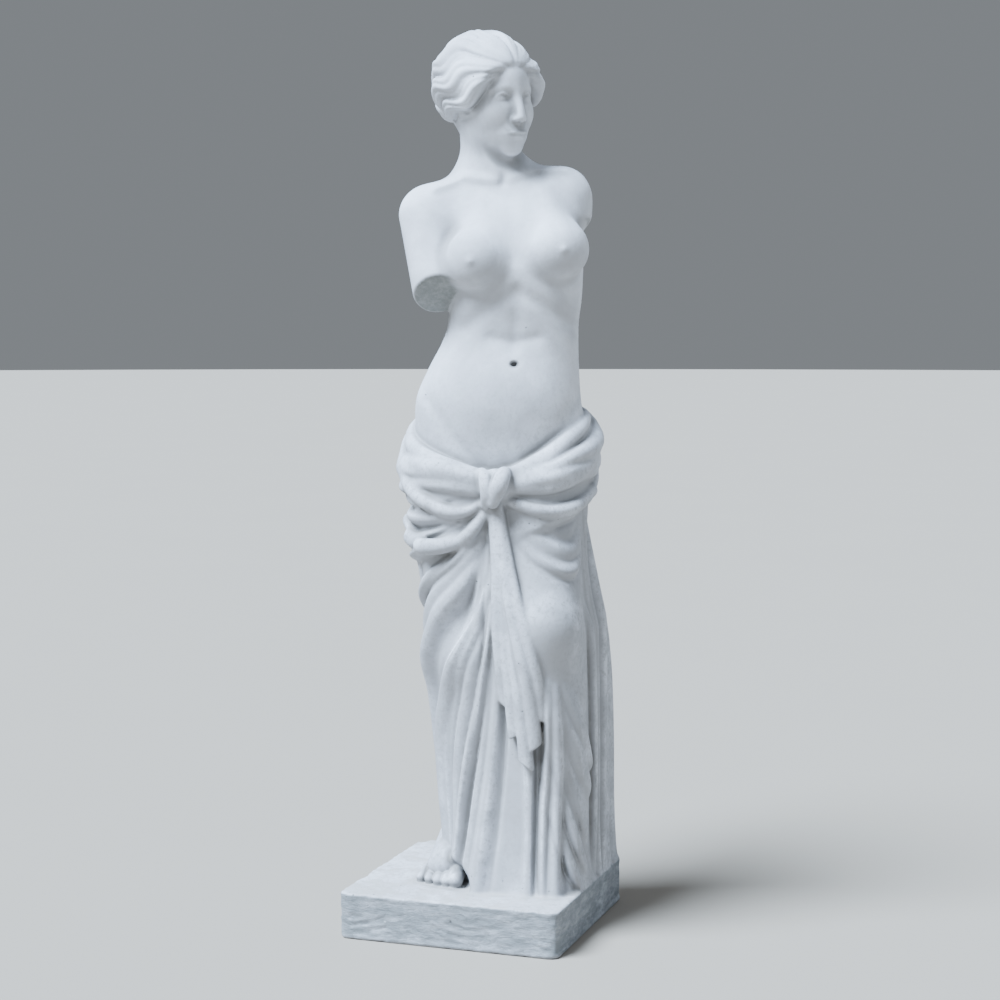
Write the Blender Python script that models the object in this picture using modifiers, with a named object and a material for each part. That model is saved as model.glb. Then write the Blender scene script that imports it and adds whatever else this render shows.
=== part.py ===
"""Half-draped classical goddess, a garden statue cast in white stone with its own low square plinth.

The plinth is a bevelled block at its real size. The figure is carved as a signed distance field, negative
inside the stone, in shares of the figure's own height, then meshed and joined to the plinth as one solid.
Figure frame: x to the viewer's right, y away from the viewer, z up from the top of the plinth.
"""

import math

import bpy
import numpy as np
import openvdb

# Sizes of the whole, in metres
FIGURE_HEIGHT = 1.143
PLINTH_WIDTH = 0.305
PLINTH_DEPTH = 0.305
PLINTH_HEIGHT = 0.062
PLINTH_EDGE = 0.004
FIGURE_TURN = math.radians(19.5)

# How finely the stone is cut
CARVING_STEP = 0.0042
FIGURE_TRIANGLES = 9400

STONE_COLOUR = (0.80, 0.80, 0.79, 1.0)
STONE_ROUGHNESS = 0.85

# Shares of the figure's height
DRAPE_TOP = 0.56
CLOTH_FOOT = -0.025
AROUND_SAMPLES = 900
UP_SAMPLES = 560
FAR = 0.2
# Lines along which the flesh rises or sinks: on the front or not, points in x and z, width, rise
MODELLING = (
    (True, ((0.0365, 0.690), (0.0360, 0.660), (0.0345, 0.628)), 0.0085, -0.0024),
    (True, ((-0.022, 0.648), (0.004, 0.672), (0.036, 0.688), (0.067, 0.675), (0.096, 0.655)),
     0.0090, -0.0027),
    (True, ((0.008, 0.637), (0.034, 0.632), (0.060, 0.637)), 0.0075, -0.0024),
    (True, ((-0.064, 0.565), (-0.036, 0.522), (-0.006, 0.490)), 0.0080, -0.0024),
    (True, ((0.112, 0.575), (0.086, 0.530), (0.052, 0.495)), 0.0080, -0.0024),
    (True, ((0.0290, 0.796), (0.0365, 0.728)), 0.0100, -0.0018),
    (True, ((0.014, 0.817), (-0.022, 0.8225), (-0.056, 0.811)), 0.0060, 0.0022),
    (True, ((0.029, 0.820), (0.062, 0.833), (0.094, 0.833)), 0.0060, 0.0022),
    (True, ((0.0215, 0.8195), (0.0210, 0.8165)), 0.0068, -0.0034),
    (True, ((0.018, 0.822), (-0.004, 0.856), (-0.022, 0.885)), 0.0065, 0.0026),
    (True, ((0.006, 0.595), (0.002, 0.560)), 0.0200, 0.0014),
    (False, ((0.026, 0.815), (0.037, 0.690), (0.022, 0.575)), 0.0105, -0.0036),
    (False, ((-0.030, 0.795), (-0.016, 0.742)), 0.0190, 0.0052),
    (False, ((0.092, 0.808), (0.080, 0.752)), 0.0190, 0.0052),
)
FIGURE_REACH = ((-0.135, -0.165, -0.03), (0.180, 0.145, 1.02))

# The bare body, as level sections: height, centre x, centre y, half width, half depth, squareness
BODY_SECTIONS = (
    (0.38, 0.019, 0.012, 0.080, 0.060, 2.2),
    (0.45, 0.021, 0.014, 0.092, 0.070, 2.2),
    (0.50, 0.020, 0.013, 0.098, 0.071, 2.3),
    (0.531, 0.019, 0.010, 0.100, 0.067, 2.3),
    (0.566, 0.0175, 0.007, 0.0965, 0.061, 2.3),
    (0.601, 0.023, 0.005, 0.088, 0.055, 2.3),
    (0.631, 0.030, 0.003, 0.080, 0.050, 2.3),
    (0.654, 0.034, 0.002, 0.0765, 0.049, 2.3),
    (0.683, 0.036, 0.001, 0.0780, 0.052, 2.3),
    (0.724, 0.034, 0.003, 0.0815, 0.056, 2.3),
    (0.759, 0.032, 0.006, 0.0815, 0.054, 2.3),
    (0.785, 0.029, 0.009, 0.079, 0.048, 2.2),
    (0.805, 0.025, 0.013, 0.066, 0.040, 2.1),
    (0.822, 0.016, 0.015, 0.044, 0.034, 2.0),
    (0.842, 0.008, 0.014, 0.0335, 0.0325, 2.0),
    (0.87, 0.004, 0.011, 0.0320, 0.0335, 2.0),
    (0.91, 0.002, 0.009, 0.0320, 0.0335, 2.0),
)
# How far the body's sections slope, as rise to the right over run: height, slope
BODY_SLOPES = ((0.38, -0.06), (0.52, -0.06), (0.64, 0.02), (0.74, 0.12),
               (0.80, 0.13), (0.85, 0.03), (0.90, 0.00))

# What is left of both arms: shoulder, a point down the arm, radii there,
# a point on the break, and the way the break faces
ARMS = (
    ((-0.066, 0.010, 0.779), (-0.051, -0.036, 0.676), (0.033, 0.0285),
     (-0.047, -0.036, 0.692), (0.10, -0.70, -0.71)),
    ((0.092, 0.012, 0.801), (0.096, 0.006, 0.735), (0.030, 0.0260),
     (0.097, 0.006, 0.766), (0.40, -0.30, -0.87)),
)
GIRDLE_ENDS = ((-0.056, 0.012, 0.783), (0.088, 0.014, 0.803))

# The cloth around both legs, as level sections
CLOTH_SECTIONS = (
    (-0.02, 0.070, 0.013, 0.108, 0.104, 3.9),
    (0.02, 0.069, 0.013, 0.106, 0.101, 3.8),
    (0.08, 0.069, 0.014, 0.101, 0.093, 3.5),
    (0.16, 0.068, 0.015, 0.104, 0.085, 3.1),
    (0.25, 0.060, 0.014, 0.103, 0.078, 2.8),
    (0.34, 0.043, 0.012, 0.097, 0.071, 2.4),
    (0.43, 0.029, 0.014, 0.096, 0.076, 2.3),
    (0.49, 0.024, 0.014, 0.097, 0.076, 2.3),
    (0.545, 0.019, 0.012, 0.095, 0.066, 2.3),
)

# The head: where it is, how tall it is from chin to crown, and how it turns
HEAD_CENTRE = (0.007, 0.000, 0.912)
HEAD_TALL = 0.132
HEAD_YAW = math.radians(38)
HEAD_TILT = math.radians(-3)
HEAD_NOD = math.radians(3)


def length(v):
    return np.sqrt((v * v).sum(axis=1))


def ellipsoid(p, centre, radii):
    """Near enough the distance to an ellipsoid with its axes along x, y and z."""
    q = (p - np.float32(centre)) / np.float32(radii)
    near = length(q)
    return near * (near - 1) / (length(q / np.float32(radii)) + 1e-6)


def capsule(p, start, end, start_radius, end_radius):
    """Distance to a straight limb that tapers from one ball to another."""
    start = np.float32(start)
    run = np.float32(end) - start
    off = p - start
    along = np.clip(off @ run / (run @ run + 1e-12), 0, 1)
    return length(off - along[:, None] * run) - (start_radius + along * (end_radius - start_radius))


def smooth_union(a, b, blend):
    mix = np.clip(0.5 + 0.5 * (b - a) / blend, 0, 1)
    return b * (1 - mix) + a * mix - blend * mix * (1 - mix)


def smooth_cut(a, cutter, blend):
    return -smooth_union(-a, cutter, blend)


def spline(points, steps=10):
    """A smooth row of points through the given ones, which may carry radii as further columns."""
    pts = np.array(points, float)
    ends = np.vstack([2 * pts[0] - pts[1], pts, 2 * pts[-1] - pts[-2]])
    row = []
    for i in range(len(pts) - 1):
        a, b, c, d = ends[i : i + 4]
        for t in np.arange(steps) / steps:
            bend = (2 * a - 5 * b + 4 * c - d) * t * t + (3 * b - a - 3 * c + d) * t**3
            row.append(0.5 * (2 * b + (c - a) * t + bend))
    row.append(pts[-1])
    return np.array(row)


def tube(p, path, reach=0.03):
    """Distance to a rope of stone along a path of x, y, z, radius. It is only exact within reach of it."""
    path = np.float32(path)
    low = path[:, :3].min(axis=0) - path[:, 3].max() - reach
    high = path[:, :3].max(axis=0) + path[:, 3].max() + reach
    close = ((p > low) & (p < high)).all(axis=1)
    out = np.full(len(p), FAR, np.float32)
    q = p[close]
    best = np.full(len(q), FAR, np.float32)
    for a, b in zip(path[:-1], path[1:]):
        best = np.minimum(best, capsule(q, a[:3], b[:3], a[3], b[3]))
    out[close] = best
    return out


def section_table(sections):
    """Smoothly filled-in sections, close enough together to be read by height."""
    return spline(sections, 12)


def loft(p, table, slopes=None):
    """Distance across to a stack of rounded sections, each a superellipse."""
    z = p[:, 2]
    if slopes is not None:
        middle = np.interp(z, table[:, 0], table[:, 1])
        rows = np.array(slopes)
        z = z - np.interp(z, rows[:, 0], rows[:, 1]) * (p[:, 0] - middle)
    centre_x, centre_y, wide, deep, power = (np.interp(z, table[:, 0], table[:, k]) for k in range(1, 6))
    dx = p[:, 0] - centre_x
    dy = p[:, 1] - centre_y
    size = (np.abs(dx / wide) ** power + np.abs(dy / deep) ** power) ** (1 / power)
    out = np.hypot(dx, dy)
    flat = np.maximum(z - table[-1, 0], table[0, 0] - z)
    side = np.where(size > 0.05, out * (1 - 1 / np.maximum(size, 0.05)), -np.minimum(wide, deep))
    return np.maximum(side, flat).astype(np.float32)


BODY_TABLE = section_table(BODY_SECTIONS)
CLOTH_TABLE = section_table(CLOTH_SECTIONS)


def breast(p, d, x, z):
    """One breast, running up into the chest."""
    full = ellipsoid(p, (x, -0.040, z), (0.0325, 0.0285, 0.0305))
    above = capsule(p, (x, -0.038, z + 0.010), (x - 0.30 * (x - 0.037), -0.016, z + 0.062), 0.024, 0.014)
    d = smooth_union(d, smooth_union(full, above, 0.03), 0.012)
    tip = (x + 0.12 * (x - 0.037), -0.0683, z + 0.002)
    return smooth_union(d, ellipsoid(p, tip, (0.0046, 0.0052, 0.0046)), 0.004)


def broken_arm(p, shoulder, stump, radii, break_point, break_facing):
    """A shoulder with what is left of its arm, cut off flat at the break."""
    arm = capsule(p, shoulder, stump, *radii)
    beyond = (p - np.float32(break_point)) @ np.float32(break_facing)
    return smooth_cut(arm, -beyond, 0.004)


def modelling(p, d, front, path, width, rise):
    """Raises (or sinks, if negative) the flesh along a line drawn in x and z on the front or the back."""
    gap = np.full(len(p), 9.0, np.float32)
    for (x0, z0), (x1, z1) in zip(path[:-1], path[1:]):
        run_x, run_z = x1 - x0, z1 - z0
        t = ((p[:, 0] - x0) * run_x + (p[:, 2] - z0) * run_z) / (run_x**2 + run_z**2 + 1e-9)
        t = np.clip(t, 0, 1)
        gap = np.minimum(gap, (p[:, 0] - x0 - t * run_x) ** 2 + (p[:, 2] - z0 - t * run_z) ** 2)
    side = np.clip((-p[:, 1] if front else p[:, 1]) * 60 + 0.5, 0, 1)
    return d - rise * side * np.exp(-gap / width**2)


def torso(p):
    """The bare body from the hips to the neck, with both broken arms."""
    d = loft(p, BODY_TABLE, BODY_SLOPES)
    # Shoulder girdle, from the neck out to each shoulder
    for end in GIRDLE_ENDS:
        d = smooth_union(d, capsule(p, (0.010, 0.020, 0.826), end, 0.024, 0.027), 0.030)
    # The arms melt into the shoulders, and stand off more sharply below the armpits
    joint = np.interp(p[:, 2], (0.71, 0.78), (0.005, 0.022)).astype(np.float32)
    for shoulder, stump, radii, break_point, break_facing in ARMS:
        d = smooth_union(d, broken_arm(p, shoulder, stump, radii, break_point, break_facing), joint)
    d = breast(p, d, -0.010, 0.722)
    d = breast(p, d, 0.084, 0.735)
    # Lower belly, and the navel
    d = smooth_union(d, ellipsoid(p, (0.026, -0.024, 0.562), (0.056, 0.034, 0.050)), 0.03)
    d = smooth_cut(d, ellipsoid(p, (0.034, -0.057, 0.607), (0.0044, 0.0130, 0.0032)), 0.0035)
    for front, path, width, rise in MODELLING:
        d = modelling(p, d, front, path, width, rise)
    return d


# Lines of the face in the head's own frame, in shares of its height from eye level: x, y, z and radius
UPPER_LID = (
    (0.054, -0.338, -0.006, 0.006),
    (0.088, -0.354, 0.030, 0.010),
    (0.132, -0.352, 0.042, 0.011),
    (0.178, -0.326, 0.024, 0.009),
    (0.208, -0.292, -0.010, 0.006),
)
LOWER_LID = (
    (0.058, -0.338, -0.012, 0.004),
    (0.098, -0.346, -0.038, 0.006),
    (0.142, -0.340, -0.042, 0.006),
    (0.200, -0.298, -0.012, 0.004),
)
BROW = ((0.030, -0.354, 0.072, 0.016), (0.11, -0.348, 0.096, 0.015), (0.205, -0.278, 0.066, 0.014))
NOSE = (
    (0, -0.328, 0.130, 0.042),
    (0, -0.368, 0.020, 0.038),
    (0, -0.412, -0.090, 0.038),
    (0, -0.428, -0.164, 0.042),
)
LIP_LINE = ((0, -0.416, -0.312, 0.004), (0.040, -0.409, -0.310, 0.004), (0.078, -0.382, -0.313, 0.002))


def head_points(p):
    """Points in the head's own frame: x to its left, y to its back, z up, with chin to crown as 1."""
    q = (p - np.float32(HEAD_CENTRE)) / HEAD_TALL
    turn = turned(HEAD_YAW, 2) @ turned(HEAD_TILT, 1) @ turned(HEAD_NOD, 0)
    return (q @ np.float32(turn)).astype(np.float32)


def turned(angle, axis):
    """A rotation matrix about x, y or z."""
    c, s = math.cos(angle), math.sin(angle)
    i, j = [(1, 2), (2, 0), (0, 1)][axis]
    m = np.eye(3)
    m[i, i], m[j, j], m[i, j], m[j, i] = c, c, -s, s
    return m


def mirrored(q):
    """The same points with both sides of the face folded onto one."""
    out = q.copy()
    out[:, 0] = np.abs(out[:, 0])
    return out


def face(q):
    """Head and features without the hair, in shares of the head's height from eye level."""
    m = mirrored(q)
    d = ellipsoid(q, (0, 0.06, 0.12), (0.330, 0.42, 0.365))
    d = smooth_union(d, ellipsoid(q, (0, -0.110, -0.110), (0.290, 0.272, 0.300)), 0.10)
    # Jaw and chin
    d = smooth_union(d, ellipsoid(q, (0, -0.160, -0.300), (0.205, 0.205, 0.150)), 0.10)
    d = smooth_union(d, ellipsoid(q, (0, -0.296, -0.424), (0.086, 0.072, 0.068)), 0.11)
    # Forehead and cheeks
    d = smooth_union(d, ellipsoid(q, (0, -0.170, 0.150), (0.220, 0.215, 0.190)), 0.08)
    d = smooth_union(d, ellipsoid(m, (0.155, -0.225, -0.130), (0.100, 0.105, 0.110)), 0.08)
    # Sockets below the brow, then each eye between its lids
    d = smooth_cut(d, ellipsoid(m, (0.116, -0.428, 0.008), (0.078, 0.084, 0.042)), 0.05)
    d = smooth_union(d, ellipsoid(m, (0.128, -0.278, -0.002), (0.080, 0.072, 0.056)), 0.010)
    for lid in (UPPER_LID, LOWER_LID):
        d = smooth_union(d, tube(m, spline(lid, 6), 0.1), 0.010)
    d = smooth_union(d, tube(m, spline(BROW, 6), 0.1), 0.05)
    # Nose
    d = smooth_union(d, tube(q, spline(NOSE, 6), 0.15), 0.050)
    d = smooth_union(d, ellipsoid(m, (0.042, -0.398, -0.180), (0.028, 0.040, 0.027)), 0.030)
    d = smooth_union(d, ellipsoid(q, (0, -0.405, -0.200), (0.016, 0.040, 0.018)), 0.020)
    d = smooth_cut(d, ellipsoid(m, (0.024, -0.424, -0.210), (0.010, 0.016, 0.007)), 0.012)
    # Mouth
    d = smooth_union(d, ellipsoid(q, (0, -0.318, -0.300), (0.125, 0.074, 0.090)), 0.06)
    d = smooth_union(d, ellipsoid(m, (0.030, -0.380, -0.293), (0.062, 0.030, 0.019)), 0.014)
    d = smooth_union(d, ellipsoid(q, (0, -0.378, -0.335), (0.062, 0.032, 0.023)), 0.014)
    d = smooth_cut(d, tube(m, spline(LIP_LINE, 6), 0.1), 0.010)
    d = smooth_cut(d, ellipsoid(q, (0, -0.425, -0.250), (0.012, 0.020, 0.026)), 0.02)
    # Ear lobe
    return smooth_union(d, ellipsoid(m, (0.300, 0.020, -0.110), (0.028, 0.045, 0.060)), 0.02)


def hair(q):
    """Hair parted in the middle and swept back in waves to a low knot behind."""
    m = mirrored(q)
    d = ellipsoid(q, (0, 0.10, 0.165), (0.425, 0.490, 0.425))
    d = smooth_union(d, ellipsoid(m, (0.22, -0.07, 0.12), (0.22, 0.30, 0.24)), 0.10)
    # The face stays clear of it, below a line from the parting to the ear
    edge = (m[:, 1] + 0.385) * 0.80 + (m[:, 2] - 0.300) * 0.60 + 0.45 * m[:, 0] ** 2
    nape = (m[:, 2] + 0.30) + 0.3 * (m[:, 1] - 0.3)
    d = smooth_cut(d, edge, 0.05)
    d = smooth_cut(d, nape, 0.06)
    # Locks run as lines of longitude from before the brow to the knot of hair behind
    off = q - np.float32((0, -0.52, 0.30))
    along = off @ np.float32((0, 0.93, -0.36))
    around = np.abs(np.arctan2(off[:, 0], off @ np.float32((0, 0.36, 0.93)))) + 0.10 * off[:, 0]
    around = around + 0.10 * np.sin(13 * along + 2.5 * around) + 0.05 * np.sin(3 * around)
    locks = np.abs(np.sin(around * 5.6 + 0.4))
    strands = np.abs(np.sin(around * 16.8 + 4 * along + 1))
    fade = np.clip(along * 4 - 0.5, 0, 1)
    d = d - fade * (0.042 * (locks - 0.6) + 0.015 * (strands - 0.6))
    parting = np.clip((q[:, 2] - 0.25) * 12, 0, 1) * np.clip(0.6 - 3 * q[:, 1], 0, 1)
    d = d + 0.014 * parting * np.exp(-((q[:, 0] / 0.020) ** 2))
    bun = ellipsoid(q, (0, 0.53, -0.02), (0.165, 0.13, 0.155))
    turn = np.arctan2(q[:, 0], q[:, 2] + 0.02)
    twist = np.abs(np.sin(2.5 * turn + 16 * length(q - np.float32((0, 0.63, -0.02)))))
    return smooth_union(d, bun - 0.022 * (twist - 0.5), 0.04)


def head(p):
    q = head_points(p)
    d = smooth_union(face(q), hair(q), 0.012)
    return d * HEAD_TALL


def over_plinth(p, d, margin, blend):
    """Keeps a form within the plinth's front, back and right sides, which stand turned under the figure."""
    cos, sin = math.cos(FIGURE_TURN), math.sin(FIGURE_TURN)
    reach = PLINTH_WIDTH / 2 / FIGURE_HEIGHT - margin
    right = p[:, 0] * cos - p[:, 1] * sin - reach
    ahead = np.abs(p[:, 0] * sin + p[:, 1] * cos) - reach
    return -smooth_union(-d, -np.maximum(right, ahead).astype(np.float32), blend)


def path_over_plinth(path, radius):
    """Draws a roll of cloth in where it would reach past the plinth's right side."""
    cos, sin = math.cos(FIGURE_TURN), math.sin(FIGURE_TURN)
    reach = PLINTH_WIDTH / 2 / FIGURE_HEIGHT - 0.001
    over = np.maximum(0, path[:, 0] * cos - path[:, 1] * sin + radius - reach)
    return path - np.column_stack([over * cos, -over * sin, 0 * over])


def legs(p):
    """Both legs under the cloth, and the hull of cloth around them."""
    margin = np.interp(p[:, 2], (0.30, 0.42), (0.010, 0.034))
    d = over_plinth(p, loft(p, CLOTH_TABLE), margin, 0.02)
    standing = smooth_union(
        capsule(p, (-0.020, 0.012, 0.45), (-0.012, -0.012, 0.27), 0.061, 0.046),
        capsule(p, (-0.012, -0.012, 0.27), (0.004, 0.010, 0.03), 0.045, 0.034), 0.02)
    relaxed = smooth_union(
        capsule(p, (0.050, 0.002, 0.445), (0.064, -0.068, 0.305), 0.056, 0.043),
        capsule(p, (0.064, -0.068, 0.305), (0.068, -0.036, 0.03), 0.042, 0.037), 0.02)
    d = smooth_union(d, standing, 0.03)
    return smooth_union(d, relaxed, 0.03)


def around_axis(p):
    """Distance from the axis of the skirt, and the bearing in radians from the front, plus to the right."""
    dx = p[:, 0] - np.interp(p[:, 2], CLOTH_TABLE[:, 0], CLOTH_TABLE[:, 1])
    dy = p[:, 1] - np.interp(p[:, 2], CLOTH_TABLE[:, 0], CLOTH_TABLE[:, 2])
    return np.hypot(dx, dy), np.arctan2(dx, -dy)


def on_axis(bearing, z, radius):
    """The point at this bearing and distance from the axis of the skirt."""
    x = np.interp(z, CLOTH_TABLE[:, 0], CLOTH_TABLE[:, 1]) + radius * np.sin(bearing)
    y = np.interp(z, CLOTH_TABLE[:, 0], CLOTH_TABLE[:, 2]) - radius * np.cos(bearing)
    return np.stack([x, y, z], axis=-1)


def smooth_base(p):
    return smooth_union(legs(p), loft(p, BODY_TABLE, BODY_SLOPES), 0.02)


def base_radius(bearing, z):
    """How far out the plain form under the folds reaches, found by stepping in from outside."""
    radius = np.full(np.shape(bearing), 0.22)
    for _ in range(14):
        p = on_axis(bearing, z, radius).reshape(-1, 3).astype(np.float32)
        radius = radius - 0.8 * smooth_base(p).reshape(radius.shape)
    return radius


class SkirtMap:
    """A map of the skirt's surface, by bearing and height, on which folds are raised and hollows sunk."""

    def __init__(self, around, up):
        self.bearing = np.linspace(-math.pi, math.pi, around, endpoint=False)
        self.height = np.linspace(-0.03, DRAPE_TOP, up)
        coarse_bearing = np.linspace(-math.pi, math.pi, 121)
        coarse_height = np.linspace(-0.03, DRAPE_TOP, 100)
        b, z = np.meshgrid(coarse_bearing, coarse_height, indexing="ij")
        coarse = base_radius(b, z)
        by_height = np.array([np.interp(self.height, coarse_height, row) for row in coarse])
        self.base = np.array([np.interp(self.bearing, coarse_bearing, col) for col in by_height.T]).T
        self.relief = np.zeros_like(self.base)

    def near_path(self, path, reach):
        """The part of the map within reach of a path, with distance, side and share of the way along it."""
        bearing, height = np.radians(path[:, 0]), path[:, 1]
        spread = reach / 0.085
        rows = np.where((self.bearing > bearing.min() - spread) & (self.bearing < bearing.max() + spread))[0]
        columns = np.where((self.height > height.min() - reach) & (self.height < height.max() + reach))[0]
        if not len(rows) or not len(columns):
            return None
        u = self.bearing[rows][:, None] * 0.1 + 0 * self.height[columns]
        v = self.height[columns][None, :] + 0 * u
        best = np.full(u.shape, 9.0)
        side = np.zeros(u.shape)
        share = np.zeros(u.shape)
        ends = np.stack([bearing * 0.1, height], axis=1)
        steps = len(ends) - 1
        for i in range(steps):
            run = ends[i + 1] - ends[i]
            du, dv = u - ends[i, 0], v - ends[i, 1]
            t = np.clip((du * run[0] + dv * run[1]) / (run @ run + 1e-12), 0, 1)
            gap = np.hypot(du - t * run[0], dv - t * run[1])
            closer = gap < best
            best = np.where(closer, gap, best)
            side = np.where(closer, np.sign(run[0] * dv - run[1] * du), side)
            share = np.where(closer, (i + t) / steps, share)
        return np.ix_(rows, columns), best, side, share

    def ridge(self, path, width, height, taper=0.25, lean=0.0):
        """A rounded fold of cloth along a path of bearings in degrees and heights, with a crease on one side."""
        for turn in (0, 360, -360):
            found = self.near_path(path + np.array((turn, 0)), 2.2 * width)
            if found is None:
                continue
            window, gap, side, share = found
            across = gap / (width * (1 + lean * side))
            fade = np.clip(np.minimum(share, 1 - share) / taper, 0, 1)
            fade = fade * (2 - fade)
            rise = height * np.clip(1 - across**2, 0, 1) ** 1.15 * fade
            self.relief[window] = np.maximum(self.relief[window], rise - 0.25 * height)
            beside = (gap - width) / (0.22 * width)
            behind = side * (1 if lean < 0 else -1) > 0
            self.relief[window] -= 0.22 * height * fade * np.exp(-beside**2) * behind

    def family(self, first, last, count, width, height, taper=0.2, seed=0):
        """Folds that pass over from one curve to another, none quite like the next."""
        first, last = spline(first, 8), spline(last, 8)
        for k in range(count):
            share = k / max(count - 1, 1)
            vary = [math.sin(seed * 1.7 + k * rate) for rate in (2.4, 4.1, 5.3, 3.3)]
            share = min(1, max(0, share + 0.25 * vary[0] / count))
            path = first + (last - first) * share
            path[:, 0] += 1.5 * vary[3] * np.sin(np.linspace(0, 5, len(path)) + k)
            start = int(0.5 + (0.06 + 0.06 * vary[1]) * len(path))
            self.ridge(path[start:], width * (1 + 0.28 * vary[2]), height * (1 + 0.35 * vary[1]), taper,
                       0.30 * vary[3])

    def soften(self, rounds):
        """Rounds off the sharpest creases and edges of the folds."""
        relief = np.maximum(self.relief, -CREASE_DEPTH)
        for _ in range(rounds):
            relief = 0.5 * relief + 0.25 * (np.roll(relief, 1, 0) + np.roll(relief, -1, 0))
            above = relief[:, [*range(1, relief.shape[1]), -1]]
            below = relief[:, [0, *range(relief.shape[1] - 1)]]
            relief = 0.7 * relief + 0.15 * (above + below)
        self.relief = relief

    def radius_at(self, bearing, z):
        """The surface's distance from the axis, read off the map between its samples."""
        total = self.base + self.relief
        around, up = total.shape
        a = (np.asarray(bearing) + math.pi) / (2 * math.pi) * around
        h = np.clip((np.asarray(z) - self.height[0]) / (self.height[1] - self.height[0]), 0, up - 1.001)
        i, j = np.floor(a).astype(int), np.floor(h).astype(int)
        s, t = a - i, h - j
        i, k = i % around, (i + 1) % around
        near = total[i, j] * (1 - t) + total[i, j + 1] * t
        far = total[k, j] * (1 - t) + total[k, j + 1] * t
        return near * (1 - s) + far * s


# Rolls of the mantle's edge: how far below it, radius near the knot and away from it, how far out, phase
ROLLS = (
    (0.000, 0.0090, 0.0108, -0.20, 0.0),
    (0.017, 0.0085, 0.0104, 0.00, 1.7),
    (0.035, 0.0085, 0.0114, -0.05, 3.2),
    (0.054, 0.0075, 0.0106, -0.25, 4.6),
)
# Loose swags under the rolls and strands across them: bearing in degrees, height, radius
SWAGS = (
    ((-12, 0.450, 0.006), (-36, 0.408, 0.0085), (-66, 0.398, 0.0100), (-105, 0.425, 0.0095), (-160, 0.480, 0.006)),
    ((-4, 0.454, 0.006), (28, 0.440, 0.0075), (62, 0.450, 0.0090), (100, 0.478, 0.0085), (150, 0.500, 0.006)),
    ((-120, 0.548, 0.005), (-92, 0.500, 0.0085), (-62, 0.455, 0.0095), (-36, 0.438, 0.0070), (-14, 0.455, 0.004)),
    ((118, 0.560, 0.005), (88, 0.522, 0.0080), (60, 0.485, 0.0085), (30, 0.466, 0.0065), (0, 0.468, 0.004)),
    ((-168, 0.545, 0.005), (-140, 0.505, 0.0085), (-112, 0.470, 0.0090), (-80, 0.462, 0.0060), (-60, 0.466, 0.004)),
)
# Cloth turned over itself in the knot: steps from its middle, radius
KNOT_LOOPS = (
    ((0.012, 0.006, 0.014, 0.006), (0.008, -0.009, 0.012, 0.009), (0.003, -0.017, 0.000, 0.010),
     (-0.004, -0.012, -0.018, 0.008)),
    ((-0.016, 0.002, 0.014, 0.006), (-0.012, -0.010, 0.006, 0.008), (-0.010, -0.012, -0.010, 0.008),
     (-0.012, -0.004, -0.022, 0.006)),
)
# Pleats that hang from the knot: bearing at the hem in degrees, height of the hem, radius
PLEATS = (
    (-21, 0.215, 0.0080),
    (-16, 0.185, 0.0085),
    (-11, 0.150, 0.0085),
    (-6, 0.172, 0.0085),
    (-1.5, 0.205, 0.0080),
)

# Where the rolled edge of the mantle runs around the hips: bearing in degrees, height
MANTLE_EDGE = (
    (-180, 0.560), (-135, 0.545), (-90, 0.518), (-45, 0.494), (-8, 0.478),
    (30, 0.495), (60, 0.520), (90, 0.542), (135, 0.557), (180, 0.560),
)
KNOT_BEARING = math.radians(-8)
KNOT_HEIGHT = 0.470
MANTLE_THICKNESS = 0.0085
HEM_SPREAD = 0.013
CREASE_DEPTH = 0.0045

# Families of folds on the skirt: first curve, last curve, how many, width, height, taper.
# The curves are bearings in degrees and heights.
FOLDS = (
    # Fan from the knot around the standing leg
    (((-14, 0.455), (-50, 0.432), (-95, 0.430), (-140, 0.460), (-172, 0.490)),
     ((-16, 0.445), (-34, 0.365), (-62, 0.300), (-84, 0.190), (-90, -0.03)), 6, 0.0125, 0.0135, 0.25),
    (((-15, 0.430), (-30, 0.340), (-54, 0.260), (-74, 0.150), (-80, -0.03)),
     ((-14, 0.400), (-20, 0.310), (-29, 0.210), (-36, 0.100), (-40, -0.03)), 6, 0.0118, 0.0140, 0.2),
    # Drawn tight over the raised thigh
    (((2, 0.455), (35, 0.455), (70, 0.475), (105, 0.500)),
     ((3, 0.430), (14, 0.385), (38, 0.365), (66, 0.40)), 4, 0.0100, 0.0075, 0.4),
    # From the knee to the ground, on both its sides
    (((-5, 0.270), (-7, 0.190), (-9, 0.090), (-11, -0.03)),
     ((11, 0.300), (9, 0.190), (7, 0.080), (7, -0.03)), 3, 0.0125, 0.0150, 0.25),
    (((56, 0.360), (60, 0.260), (63, 0.130), (65, -0.03)),
     ((67, 0.480), (69, 0.320), (71, 0.150), (73, -0.03)), 2, 0.0120, 0.0115, 0.3),
    # Slack folds that swing from inside the knee across the shin
    (((8, 0.300), (17, 0.235), (32, 0.180), (50, 0.145), (62, 0.140)),
     ((2, 0.165), (8, 0.085), (17, 0.025), (28, -0.010), (36, -0.03)), 5, 0.0135, 0.0120, 0.55),
    # Upright flutes at her left side and behind
    (((76, 0.545), (77, 0.300), (78, 0.150), (79, -0.03)),
     ((262, 0.545), (264, 0.300), (266, 0.150), (268, -0.03)), 14, 0.0135, 0.0110, 0.12),
)


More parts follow.
